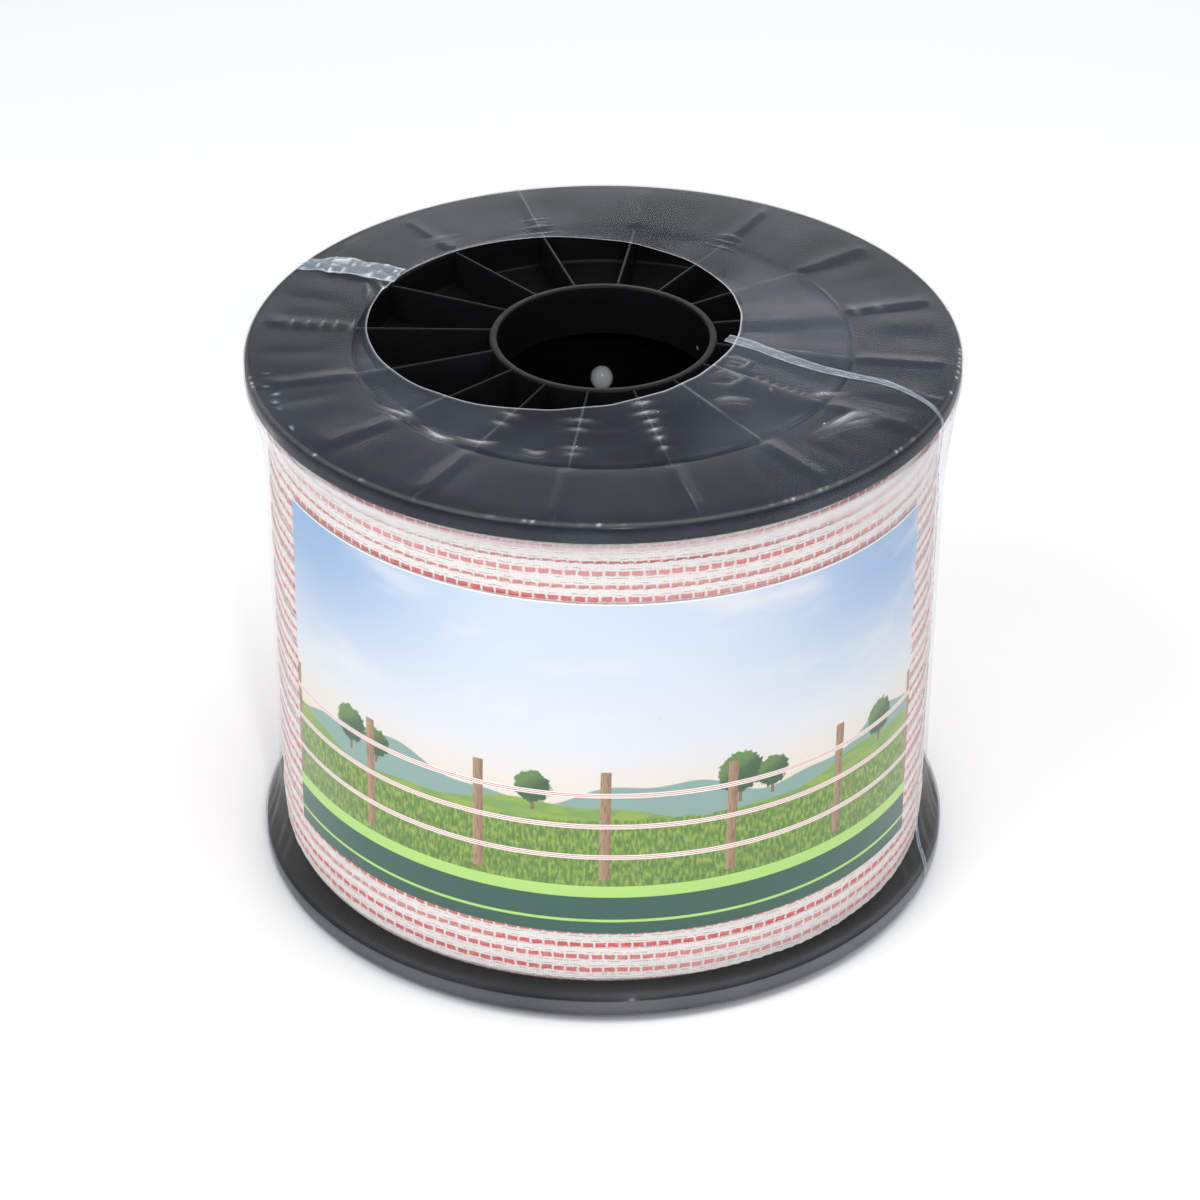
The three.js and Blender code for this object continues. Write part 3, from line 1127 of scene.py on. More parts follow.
    def build_core(self, material: bpy.types.Material) -> None:
        """The layers below, as a turned body whose face shows between the ribbon and the flanges."""
        sides, size = self.core_sides, self.core_round
        face = self.radius - self.shingle_rise - self.thickness - 0.45
        outline = [(self.bore, self.bottom), (face - size, self.bottom)]
        outline += arc(face - size, self.bottom + size, size, -90, 0)
        outline += arc(face - size, self.top - size, size, 0, 90)
        outline += [(self.bore, self.top)]
        dense = refine(np.array(outline, float), 5.0)
        angles = np.radians(np.arange(sides + 1) * 360.0 / sides)
        points = np.empty((len(dense), sides + 1, 3))
        points[:, :, 0] = dense[:, 0:1] * np.cos(angles)
        points[:, :, 1] = dense[:, 0:1] * np.sin(angles)
        points[:, :, 2] = dense[:, 1:2]
        length = np.concatenate([[0.0], np.cumsum(np.linalg.norm(np.diff(dense, axis=0), axis=1))])
        uv = np.empty((len(dense), sides + 1, 2))
        uv[:, :, 0] = angles * self.radius
        uv[:, :, 1] = length[:, None]
        rows = len(dense)
        faces = grid_faces(rows, sides + 1, False)
        first = np.arange(sides)
        last = (rows - 1) * (sides + 1) + first
        closing = np.stack([last, last + 1, first + 1, first], axis=1)
        flat_points, flat_uv = points.reshape(-1, 3), uv.reshape(-1, 2)
        piece = make_piece("tape_core", flat_points, np.vstack([faces, closing]), material, flat_uv)
        weld(piece)
        crisp(piece, 50.0)
        hand_over(piece, Slot.TAPE, "tape_winding")


def weld(piece: bpy.types.Object, distance_mm: float = 0.001) -> None:
    """Merges points of a piece that lie on each other, and turns its faces outward."""
    mesh = bmesh.new()
    mesh.from_mesh(piece.data)
    bmesh.ops.remove_doubles(mesh, verts=mesh.verts, dist=distance_mm * MM)
    bmesh.ops.recalc_face_normals(mesh, faces=mesh.faces)
    mesh.to_mesh(piece.data)
    mesh.free()


@dataclass
class LabelSheet:
    """The printed sheet round the front of the winding, gently uneven where it bridges the tape's rows."""

    radius: float
    thickness: float
    middle: float
    width: float = 193.0
    height: float = 96.5
    turn: float = 0.5
    tilt: float = -1.0
    unevenness: float = 0.06
    steps_along: int = 280
    steps_up: int = 110

    def build(self, material: bpy.types.Material) -> None:
        """Makes the sheet.

        Args:
            material: the print.
        """
        x = np.linspace(-self.width / 2, self.width / 2, self.steps_along + 1)
        y = np.linspace(0.0, self.height, self.steps_up + 1)
        grid_x, grid_y = np.meshgrid(x, y)
        outer = self.wrap(grid_x, grid_y, self.radius + self.thickness)
        inner = self.wrap(grid_x, grid_y, self.radius)
        rows, columns = grid_x.shape
        size = rows * columns
        front = grid_faces(rows, columns, False)
        back = front[:, ::-1] + size
        flat = np.stack([grid_x, grid_y], axis=-1).reshape(-1, 2)
        points = np.vstack([outer, inner])
        faces = np.vstack([front, back, edge_faces(rows, columns, size)])
        piece = make_piece("picture_label", points, faces, material, np.vstack([flat, flat]))
        crisp(piece, 60.0)
        hand_over(piece, Slot.LABEL, "label")

    def wrap(self, x: np.ndarray, y: np.ndarray, radius: float) -> np.ndarray:
        """Lays flat points round the winding.

        Args:
            x: places along the sheet from its middle.
            y: places up from its lower edge.
            radius: radius of the face.

        Returns:
            Points in the reel's frame.
        """
        lean = math.radians(self.tilt)
        centred = y - self.height / 2
        turned_x = x * math.cos(lean) - centred * math.sin(lean)
        turned_y = x * math.sin(lean) + centred * math.cos(lean)
        uneven = self.unevenness * np.sin(turned_x / 13.0 + turned_y / 31.0) * np.sin(turned_y / 2.5)
        angle = turned_x / self.radius + math.radians(self.turn) - math.pi / 2
        here = radius + uneven
        height = self.middle + turned_y
        return np.stack([here * np.cos(angle), here * np.sin(angle), height], -1).reshape(-1, 3)


def edge_faces(rows: int, columns: int, size: int) -> np.ndarray:
    """Quads that join the edges of a grid to those of its copy, stored size points later.

    Args:
        rows: rows of the grid.
        columns: points in a row.
        size: how many points later the copy is.

    Returns:
        The quads.
    """
    ring = list(range(columns))
    ring += [row * columns + columns - 1 for row in range(1, rows)]
    ring += [(rows - 1) * columns + i for i in range(columns - 2, -1, -1)]
    ring += [row * columns for row in range(rows - 2, 0, -1)]
    here = np.array(ring)
    after = np.roll(here, -1)
    return np.stack([after, here, here + size, after + size], axis=1)


@dataclass(frozen=True)
class Ladder:
    """A row of short cross wrinkles of the film along one rib, like the rungs of a ladder."""

    azimuth: float
    start: float
    stop: float
    pitch: float = 2.6
    first_width: float = 7.0
    last_width: float = 3.0
    depth: float = 0.45
    # light: strength of the painted highlight on each rung.
    light: float = 0.8

    def folds(self, seed: int) -> list["Fold"]:
        """The rungs as single folds.

        Args:
            seed: picks their small differences.

        Returns:
            One fold for each rung.
        """
        rng = np.random.default_rng(seed)
        turn = math.radians(self.azimuth)
        count = max(1, round((self.stop - self.start) / self.pitch))
        rungs = []
        for i in range(count):
            share = i / max(1, count - 1)
            radius = self.start + (self.stop - self.start) * share + rng.uniform(-0.3, 0.3)
            width = self.first_width + (self.last_width - self.first_width) * share
            half = 0.5 * width * rng.uniform(0.8, 1.15)
            bow = rng.uniform(-0.4, 0.4)
            ends = [(radius + bow, -half), (radius, rng.uniform(-0.4, 0.4)), (radius + bow, half)]
            path = [
                (r * math.cos(turn) - s * math.sin(turn), r * math.sin(turn) + s * math.cos(turn))
                for r, s in ends
            ]
            rungs.append(Fold(tuple(path), 0.42, self.depth * rng.uniform(0.7, 1.1), self.light))
        return rungs


@dataclass(frozen=True)
class Fold:
    """A sharp fold of the film on the cap: a raised ridge with a painted highlight, and a hollow beside it
    with painted shade.
    """

    path: tuple[tuple[float, float], ...]
    width: float = 0.5
    depth: float = 0.5
    # light and dark: strengths of the painted highlight on the ridge and of the painted shade in the hollow.
    light: float = 0.7
    dark: float = 0.9

    def press(self, x: np.ndarray, y: np.ndarray) -> tuple[np.ndarray, np.ndarray, np.ndarray]:
        """Works the fold out at points of the cap.

        Args:
            x: places of the points.
            y: places of the points.

        Returns:
            The lift in millimetres, the painted highlight and the painted shade at each point.
        """
        nearest = np.full(x.shape, 1e9)
        side = np.zeros(x.shape)
        share = np.zeros(x.shape)
        count = len(self.path) - 1
        for i, (here, after) in enumerate(zip(self.path[:-1], self.path[1:])):
            dx, dy = after[0] - here[0], after[1] - here[1]
            length = math.hypot(dx, dy)
            along = np.clip(((x - here[0]) * dx + (y - here[1]) * dy) / length**2, 0.0, 1.0)
            off_x, off_y = x - here[0] - along * dx, y - here[1] - along * dy
            away = np.hypot(off_x, off_y)
            closer = away < nearest
            nearest = np.where(closer, away, nearest)
            side = np.where(closer, (off_y * dx - off_x * dy) / length, side)
            share = np.where(closer, (i + along) / count, share)
        taper = np.sin(np.clip(share, 0.02, 0.98) * math.pi) ** 0.6
        ridge = bell(nearest, self.width) * taper
        beside = bell(np.hypot(nearest * 0.3, side + self.width * 2.0), self.width * 1.5)
        hollow = beside * bell(nearest, 2.4) * taper
        lift = self.depth * (ridge - 0.45 * hollow)
        ends = bell(nearest, self.width * 1.8) * (1.0 - taper**2) * self.depth
        return lift, self.light * ridge * taper**2, self.dark * np.maximum(hollow, ends)


@dataclass
class FilmSheet:
    """The shrink film as one sheet: cap with an off-centre hole, over the rim, down the side and under."""

    upper_plane: float
    lower_plane: float
    flange_radius: float
    wall_radius: float
    under_radius: float = 72.0
    ring_radius: float = 63.0
    collar_radius: float = 28.7
    collar_proud: float = 2.0
    clearance: float = 0.35
    rim_round: float = 1.2
    flange_thickness: float = 5.3
    hole_radius: float = 47.3
    hole_x: float = -12.5
    hole_y: float = 9.9
    first_fin: float = -7.5
    fin_count: int = 16
    rib_height: float = 0.30
    sides: int = 576
    cap_count: int = 84
    side_steps: int = 62
    under_count: int = 6
    pocket_sag: float = 0.22
    slack_height: float = 0.10
    lip_curl: float = 0.25
    lip_crease: float = 0.75
    under_lip_crease: float = 0.7
    upper_haze: float = 0.85
    lower_haze: float = 0.02
    # The three rim values below paint a lighter sheen on the film over the rims' sides and the lower rim's
    # edge.
    upper_rim_sheen: float = 0.08
    lower_rim_sheen: float = 0.27
    lower_edge_sheen: float = 0.20
    bare_patch: float = 206.5
    bare_patch_width: float = 2.4
    folds: tuple[Fold, ...] = ()

    def build(self, material: bpy.types.Material) -> None:
        """Makes the film.

        Args:
            material: the clear film.
        """
        angles = np.arange(self.sides) * 360.0 / self.sides
        cap = self.cap_rows(angles)
        rows = [*cap, *self.side_rows(angles), *self.under_rows(angles)]
        radius, height, haze, backing, crease = (np.array([row[i] for row in rows]) for i in range(5))
        turn = np.radians(angles)[None, :]
        points = np.stack([radius * np.cos(turn), radius * np.sin(turn), height], axis=-1)
        self.fold_cap(points, crease, backing, len(cap))
        faces = grid_faces(len(rows), self.sides, True)[:, ::-1]
        values = {"haze": haze, "backing": np.clip(backing, 0.0, 1.0), "crease": np.clip(crease, 0.0, 1.0)}
        piece = make_piece("shrink_wrap", points.reshape(-1, 3), faces, material, fields=values)
        hand_over(piece, Slot.FILM, "shrink_film")

    def lid_height(self, x: float, y: float) -> float:
        """Height of the cap at a point."""
        radius, angle = math.hypot(x, y), math.degrees(math.atan2(y, x))
        nowhere = np.array([0.0])
        return float(self.cap_height(np.array([radius]), np.array([angle]), nowhere)[0])

    def side_radius(self, azimuth: float, height: float) -> float:
        """Radius of the film's side in one direction, at a height."""
        top_edge, low_edge = self.side_ends()
        outer = self.flange_radius + self.clearance
        if low_edge < height < top_edge:
            return float(self.wall(np.array([azimuth]), height, top_edge, low_edge, outer)[0])
        return outer

    def side_ends(self) -> tuple[float, float]:
        """Heights where the film leaves the upper rim and reaches the lower one."""
        return (
            self.upper_plane - self.flange_thickness + 0.4,
            self.lower_plane + self.flange_thickness - 0.4,
        )

    def hole_edge(self, angles: np.ndarray) -> np.ndarray:
        """Distance from the reel's axis to the hole's edge in each direction."""
        turn = np.radians(angles)
        along = self.hole_x * np.cos(turn) + self.hole_y * np.sin(turn)
        offset_squared = self.hole_x**2 + self.hole_y**2
        edge = along + np.sqrt(along**2 - offset_squared + self.hole_radius**2)
        return edge + 0.10 * ripples(angles, (5, 9, 14, 23), 11)

    def cap_rows(self, angles: np.ndarray) -> list[tuple[np.ndarray, ...]]:
        """Rows from the hole's edge to the rim: radius, height, haze, backing and crease."""
        edge = self.hole_edge(angles)
        flat = np.zeros_like(angles)
        last = self.flange_radius - self.rim_round
        rows = []
        for i in range(self.cap_count):
            radius = edge + (last - edge) * (i / self.cap_count)
            height = self.cap_height(radius, angles, edge)
            lip = self.lip_crease * bell(radius - edge, 0.35)
            rows.append((radius, height, 0.1 * flat, 1.0 + flat, lip + flat))
        return rows

    def cap_height(self, radius: np.ndarray, angles: np.ndarray, edge: np.ndarray) -> np.ndarray:
        """Height of the film over the fins, the pockets and the flange.

        Args:
            radius: distance from the axis.
            angles: directions in degrees.
            edge: distance of the hole's edge.

        Returns:
            Heights.
        """
        fall = self.collar_proud / (self.ring_radius - self.collar_radius)
        slope = np.clip((self.ring_radius - radius) * fall, 0.0, self.collar_proud)
        pitch = 360.0 / self.fin_count
        to_fin = np.abs(turn_gap((angles - self.first_fin) % pitch, 0.0))
        to_fin = np.minimum(to_fin, pitch - (angles - self.first_fin) % pitch)
        sideways = radius * np.radians(to_fin)
        inside = 1.0 - smooth(self.ring_radius - 4.0, self.ring_radius + 0.5, radius)
        sag = self.pocket_sag * inside * smooth(0.8, 9.0, sideways)
        over_rib = self.rib_height * bell(sideways, 1.8)
        over_rib = over_rib * smooth(self.ring_radius, self.ring_radius + 3.0, radius)
        over_rib = over_rib * (1.0 - smooth(self.flange_radius - 7.0, self.flange_radius - 3.0, radius))
        slack = self.slack_height * ripples(angles, (7, 12, 19, 31), 3) * smooth(66.0, 76.0, radius)
        slack = slack * (1.0 - smooth(82.0, 88.0, radius))
        curl = self.lip_curl * bell(radius - edge, 1.2)
        lift = self.clearance + over_rib + np.abs(slack) + curl - sag
        return self.upper_plane + slope + lift

    def side_rows(self, angles: np.ndarray) -> list[tuple[np.ndarray, ...]]:
        """Rows over the upper rim, down the wall and over the lower rim, with the same five values."""
        flat = np.zeros_like(angles)
        rim = self.flange_radius - self.rim_round
        size = self.rim_round + self.clearance
        draw = np.random.default_rng(51).random(len(angles))
        sparkle = 0.75 * smooth(0.72, 1.0, draw) ** 2
        sparkle *= smooth(-0.3, 0.4, ripples(angles, (9, 14, 22), 52))
        rows = []
        for i, (r, z) in enumerate(arc(rim, -self.rim_round, size, 90, 0, 6)):
            tight = 1.0 - 0.92 * bell(i - 2.0, 1.1)
            glints = sparkle * bell(i - 1.5, 1.2)
            rows.append((flat + r, flat + self.upper_plane + z, flat + 0.1, flat + tight, glints))
        top_edge, low_edge = self.side_ends()
        outer = self.flange_radius + self.clearance
        patch = bell(turn_gap(angles, self.bare_patch), self.bare_patch_width)
        for share in (0.33, 0.66, 1.0):
            start = self.upper_plane - self.rim_round
            height = start + (top_edge - start) * share
            backing = 1.0 - 0.9 * patch
            rows.append((flat + outer, flat + height, flat + 0.2, backing, flat + self.upper_rim_sheen))
        for i in range(1, self.side_steps):
            height = top_edge + (low_edge - top_edge) * self.spread(i / self.side_steps)
            radius = self.wall(angles, height, top_edge, low_edge, outer)
            low_part = float(smooth(low_edge + 26.0, low_edge + 4.0, height))
            haze = self.upper_haze + (self.lower_haze - self.upper_haze) * low_part
            haze = haze * smooth(0.2, 3.6, radius - self.wall_radius)
            covered = smooth(top_edge - 1.8, top_edge, height) + smooth(low_edge + 2.6, low_edge, height)
            rows.append((radius, flat + height, haze, flat + covered, flat))
        for share in (0.0, 0.33, 0.66):
            height = low_edge + (self.lower_plane + self.rim_round - low_edge) * share
            rows.append((flat + outer, flat + height, flat + 0.2, flat + 1.0, flat + self.lower_rim_sheen))
        for r, z in arc(rim, self.rim_round, size, 0, -90, 6):
            height = flat + self.lower_plane + z
            rows.append((flat + r, height, flat + 0.1, flat + 1.0, flat + self.lower_edge_sheen))
        return rows

    @staticmethod
    def spread(share: float) -> float:
        """Packs the rows of the wall closer together near its two ends."""
        return 0.5 - 0.5 * math.cos(math.pi * share) * (0.35 + 0.65 * abs(math.cos(math.pi * share)))

    def wall(self, angles: np.ndarray, height: float, top: float, low: float, outer: float) -> np.ndarray:
        """Radius of the film's side: slack slopes off both rims on to the tape.

        Args:
            angles: directions in degrees.
            height: height of the row.
            top: height where the upper slope starts.
            low: height where the lower slope starts.
            outer: radius at the rims.

        Returns:
            Radii.
        """
        left = bell(turn_gap(angles, 190.0), 38.0)
        right = bell(turn_gap(angles, -15.0), 34.0)
        upper_run = 9.0 + 13.0 * left + 26.0 * right + 1.5 * ripples(angles, (5, 8, 13), 31)
        lower_run = 9.5 + 5.0 * left + 6.0 * right + 1.2 * ripples(angles, (4, 7, 12), 32)
        from_top = np.clip((top - height) / upper_run, 0.0, 1.0)
        from_low = np.clip((height - low) / lower_run, 0.0, 1.0)
        upper = (1.0 - from_top) ** 1.5
        lower = (1.0 - from_low) ** 1.5
        base = self.wall_radius + 0.9 * right * smooth(20.0, 120.0, height)
        slope = np.maximum(upper, lower)
        pleats = 0.16 * ripples(angles, (41, 67, 97), 33) * 4.0 * slope * (1.0 - slope)
        return base + (outer - base) * slope + pleats

    def under_rows(self, angles: np.ndarray) -> list[tuple[np.ndarray, ...]]:
        """Rows under the lower flange, to the film's lower edge, with the same five values."""
        flat = np.zeros_like(angles)
        start = self.flange_radius - self.rim_round
        rows = []
        for i in range(1, self.under_count + 1):
            share = i / self.under_count
            wave = 0.4 * ripples(angles, (6, 11, 17), 41)
            radius = start + (self.under_radius - start + wave) * share
            lip = flat + (self.under_lip_crease if i == self.under_count else 0.0)
            rows.append((radius, flat + self.lower_plane - self.clearance, flat + 0.1, flat + 1.0, lip))
        return rows

    def fold_cap(self, points: np.ndarray, crease: np.ndarray, backing: np.ndarray, cap_count: int) -> None:
        """Presses the folds into the cap and paints their highlights and shade.

        Args:
            points: the film's grid of points, changed in place.
            crease: film whiteness from folds and painted glints, changed in place.
            backing: share of painted sheen, changed in place; painted shade in the fold hollows lowers it.
            cap_count: how many rows belong to the cap.
        """
        cap = points[:cap_count]
        for fold in self.folds:
            lift, light, dark = fold.press(cap[:, :, 0], cap[:, :, 1])
            cap[:, :, 2] += np.maximum(lift, -0.25)
            crease[:cap_count] += light
            backing[:cap_count] *= 1.0 - np.clip(dark, 0.0, 0.95)


@dataclass
class FilmSeam:
    """A welded seam of the film: a narrow crumpled strip lying on it."""

    name: str
    path: list[tuple[float, float, float]]
    normals: list[tuple[float, float, float]]
    widths: list[float]
    crumple: list[float]
    seed: int
    spacing: float = 0.8
    columns: int = 9
    width_change: float = 0.14
    sideways_drift: float = 0.10
    least_lift: float = 0.12
    edge_crease: float = 0.42

    def build(self, material: bpy.types.Material) -> None:
        """Makes the strip.

        Args:
            material: the milky film of the seam.
        """
        path = self.dense(np.array(self.path))
        normals = self.dense(np.array(self.normals))
        normals /= np.linalg.norm(normals, axis=1)[:, None]
        tangent = np.gradient(path, axis=0)
        tangent /= np.linalg.norm(tangent, axis=1)[:, None]
        sideways = np.cross(normals, tangent)
        width = self.dense(np.array(self.widths)[:, None])[:, 0]
        crumple = self.dense(np.array(self.crumple)[:, None])[:, 0]
        count, across = len(path), np.linspace(-0.5, 0.5, self.columns)
        rng = np.random.default_rng(self.seed)
        width = width * (1.0 + self.width_change * self.wander(rng, count, 6))
        shift = self.sideways_drift * width * self.wander(rng, count, 9)
        rough = np.stack([self.wander(rng, count, 3) for _ in across], axis=1)
        lift = np.abs(rough) * crumple[:, None] + self.least_lift
        lift = lift * (1.0 - 0.7 * (2.0 * np.abs(across)[None, :]) ** 4)
        offset = across[None, :] * width[:, None] + shift[:, None]
        points = path[:, None, :] + sideways[:, None, :] * offset[:, :, None]
        points = points + normals[:, None, :] * lift[:, :, None]
        edge = np.where(np.abs(across) > 0.45, self.edge_crease, 0.0)[None, :]
        glints = np.clip(rough, 0.0, 1.0) ** 3 * np.clip(crumple, 0.0, 1.0)[:, None]
        crease = np.clip(edge + 1.6 * glints + 0.04, 0.0, 1.0)
        haze = 0.10 + 0.25 * np.clip(-rough, 0.0, 1.0)
        faces = grid_faces(count, self.columns, False)
        values = {"haze": haze, "crease": crease, "backing": np.zeros_like(crease)}
        piece = make_piece(self.name, points.reshape(-1, 3), faces, material, fields=values)
        hand_over(piece, Slot.FILM)

    def dense(self, values: np.ndarray) -> np.ndarray:
        """Resamples a list of points along the path with a smooth curve through them.

        Args:
            values: one row for each point of the path.

        Returns:
            One row for each step of the spacing.
        """
        corners = np.array(self.path)
        length = np.concatenate([[0.0], np.cumsum(np.linalg.norm(np.diff(corners, axis=0), axis=1))])
        fine = np.linspace(0.0, length[-1], int(length[-1] / self.spacing))
        slope = np.gradient(values, length, axis=0)
        index = np.clip(np.searchsorted(length, fine, side="right") - 1, 0, len(length) - 2)
        gap = (length[index + 1] - length[index])[:, None]
        t = ((fine - length[index])[:, None]) / gap
        start, stop = values[index], values[index + 1]
        leave, arrive = slope[index] * gap, slope[index + 1] * gap
        ease = t * t * (3.0 - 2.0 * t)
        return start + (stop - start) * ease + leave * (t * (1 - t) ** 2) - arrive * (t * t * (1 - t))

    @staticmethod
    def wander(rng: np.random.Generator, count: int, every: int) -> np.ndarray:
        """A smooth random walk between -1 and 1 with a new value every few steps."""
        knots = np.arange(0, count + every, every)
        return np.interp(np.arange(count), knots, rng.uniform(-1.0, 1.0, len(knots)))


@dataclass
class Studio:
    """Pale floor, soft lights and the camera of the picture."""

    focal_pixels: float = 4162.0
    camera_distance: float = 1083.2
    elevation: float = 31.68
    aim_height: float = 73.65
    aim_pixel: tuple[float, float] = (603.2, 585.7)
    floor_half: float = 6000.0
    world_colour: Colour = (0.95, 0.97, 1.0)
    world_strength: float = 0.46
    lights: tuple[tuple[str, Place, float, float], ...] = (
        ("back_softbox", (40.0, 1500.0, 620.0), 620.0, 2.5),
        ("key_softbox", (-700.0, -500.0, 1000.0), 700.0, 6.2),
        ("top_softbox", (300.0, -100.0, 1200.0), 900.0, 7.0),
        ("front_fill", (350.0, -1300.0, 420.0), 520.0, 0.9),
        ("front_flash", (110.0, -950.0, 705.0), 60.0, 2.9),
    )

    def build(self) -> None:
        """Makes the stage."""
        self.build_floor()
        self.build_world()
        for name, place, side, watts in self.lights:
            self.add_light(name, place, side, watts)
        self.build_camera()

    def build_floor(self) -> None:
        """A large pale floor."""
        material, n, shader = new_material("floor_paper")
        n.plug(shader.inputs["Base Color"], (0.97, 0.97, 0.97))
        shader.inputs["Roughness"].default_value = 0.9
        shader.inputs["Specular IOR Level"].default_value = 0.1
        side = self.floor_half
        corners = np.array([(-side, -side, 0), (side, -side, 0), (side, side, 0), (-side, side, 0)], float)
        floor = make_piece("floor", corners, [[0, 1, 2, 3]], material)

    def build_world(self) -> None:
        """Even light from all round, shown without a film-like tone curve."""
        bpy.context.scene.view_settings.view_transform = "Standard"
        world = bpy.data.worlds.new("studio")
        bpy.context.scene.world = world
        world.use_nodes = True
        background = world.node_tree.nodes["Background"]
        background.inputs["Color"].default_value = (*self.world_colour, 1.0)
        background.inputs["Strength"].default_value = self.world_strength

    def add_light(self, name: str, place: Place, side: float, watts: float) -> None:
        """A square soft light aimed at the reel.

        Args:
            name: the light's name.
            place: its position.
            side: the length of its side.
            watts: its power.
        """
        light = bpy.data.lights.new(name, "AREA")
        light.shape = "SQUARE"
        light.size = side * MM
        light.energy = watts
        holder = bpy.data.objects.new(name, light)
        bpy.context.scene.collection.objects.link(holder)
        holder.location = Vector(place) * MM
        aim = Vector((0.0, 0.0, self.aim_height)) * MM
        holder.rotation_euler = (aim - holder.location).to_track_quat("-Z", "Y").to_euler()

    def build_camera(self) -> None:
        """The camera at the picture's viewing angle."""
        data = bpy.data.cameras.new("camera")
        data.sensor_width = SENSOR_WIDTH
        data.lens = self.focal_pixels / PHOTO_SIDE * SENSOR_WIDTH
        data.shift_x = -(self.aim_pixel[0] - PHOTO_SIDE / 2) / PHOTO_SIDE
        data.shift_y = (self.aim_pixel[1] - PHOTO_SIDE / 2) / PHOTO_SIDE
        camera = bpy.data.objects.new("camera", data)
        bpy.context.scene.collection.objects.link(camera)
        tilt = math.radians(self.elevation)
        reach = self.camera_distance * MM
        camera.location = (0.0, -reach * math.cos(tilt), self.aim_height * MM + reach * math.sin(tilt))
        camera.rotation_euler = (math.radians(90.0) - tilt, 0.0, 0.0)
        bpy.context.scene.camera = camera


def cap_folds() -> tuple[Fold, ...]:
    """The cap's wrinkles: ladders on the ribs, pinches, ticks behind the hole, scratches at the left rim."""
    ladders = (
        Ladder(-75.0, 36.0, 56.0, 3.1, 8.5, 2.5, 0.50, 0.75),
        Ladder(172.5, 64.0, 79.0, 3.1, 6.0, 4.0, 0.60, 0.45),
        Ladder(-97.5, 42.5, 46.5, 1.9, 9.0, 7.0, 0.30, 0.4),
        Ladder(-97.5, 55.0, 58.0, 2.0, 7.0, 6.0, 0.25, 0.35),
        Ladder(-120.0, 45.0, 50.0, 2.2, 7.0, 5.0, 0.30, 0.45),
        Ladder(-30.0, 44.0, 57.0, 2.3, 3.6, 2.4, 0.35, 0.10),
        Ladder(60.0, 60.0, 67.0, 2.2, 9.0, 6.0, 0.30, 0.35),
        Ladder(105.0, 62.0, 70.0, 2.3, 12.0, 8.0, 0.30, 0.35),
        Ladder(15.0, 66.0, 72.0, 2.4, 4.0, 3.0, 0.25, 0.25),
        Ladder(-142.5, 60.0, 64.0, 2.2, 5.0, 4.0, 0.35, 0.45),
    )
    folds = [fold for seed, ladder in enumerate(ladders, 60) for fold in ladder.folds(seed)]
    folds += [
        Fold(((52.5, -46.5), (56.5, -42.0), (61.0, -37.5), (66.5, -37.8)), 0.75, 1.1, 0.75, 1.0),
        Fold(((57.0, -43.5), (61.5, -41.0), (66.0, -40.0)), 0.55, 0.5, 0.45, 1.0),
        Fold(((30.0, -12.0), (33.0, -11.0), (36.5, -13.0), (34.5, -16.5), (31.0, -16.0)), 0.5, 0.5, 0.3, 0.9),
        Fold(((27.0, -20.5), (30.5, -18.5), (34.5, -21.5), (31.0, -25.0), (27.5, -24.5)), 0.5, 0.5, 0.3, 0.9),
        Fold(((26.5, -33.5), (31.0, -31.0), (36.0, -31.5)), 0.5, 0.5, 0.40, 0.8),
        Fold(((50.0, -29.5), (54.0, -27.0), (60.0, -27.5)), 0.45, 0.5, 0.70, 0.7),
        Fold(((-55.0, -33.5), (-50.0, -36.5), (-45.5, -40.0)), 0.45, 0.45, 0.65, 0.8),
        Fold(((-44.0, -43.5), (-40.0, -48.0), (-35.0, -51.0)), 0.50, 0.55, 0.85, 0.8),
        Fold(((-36.0, -49.0), (-30.0, -51.5), (-25.0, -52.0)), 0.45, 0.45, 0.70, 0.8),
        Fold(((-20.0, -54.5), (-16.0, -56.5), (-13.0, -56.0)), 0.45, 0.40, 0.50, 0.7),
        Fold(((-47.0, 55.0), (-43.0, 57.0), (-38.5, 58.5)), 0.60, 0.55, 0.20, 1.0),
        Fold(((-69.0, 51.5), (-66.5, 55.0), (-62.0, 58.0)), 0.60, 0.50, 0.20, 1.0),
        Fold(((-60.5, 22.0), (-60.0, 26.5), (-61.0, 31.0)), 0.60, 0.60, 0.35, 1.0),
        Fold(((-57.5, 24.0), (-56.5, 28.5), (-58.5, 33.0)), 0.50, 0.50, 0.45, 0.9),
        Fold(((-85.0, -17.0), (-81.5, -16.6)), 0.28, 0.15, 0.60, 0.0),
        Fold(((-84.5, -23.5), (-80.5, -23.2)), 0.28, 0.15, 0.65, 0.0),
        Fold(((-83.5, -27.5), (-78.5, -27.0)), 0.30, 0.15, 0.75, 0.0),
        Fold(((-82.0, -31.5), (-77.5, -31.0)), 0.28, 0.15, 0.65, 0.0),
        Fold(((-80.0, -35.0), (-76.5, -34.6)), 0.28, 0.15, 0.50, 0.0),
        Fold(((-76.0, -44.3), (-74.8, -43.9)), 0.60, 0.20, 1.00, 0.0),
        Fold(((73.0, -24.6), (80.0, -27.8), (86.6, -30.3)), 0.35, 0.20, 0.55, 0.2),
    ]
    return tuple(folds)


def box_mm(node: str) -> tuple[np.ndarray, np.ndarray]:
    """Lowest and highest corner of a node in millimetres."""
    low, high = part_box(node)
    return np.array(low) / MM, np.array(high) / MM


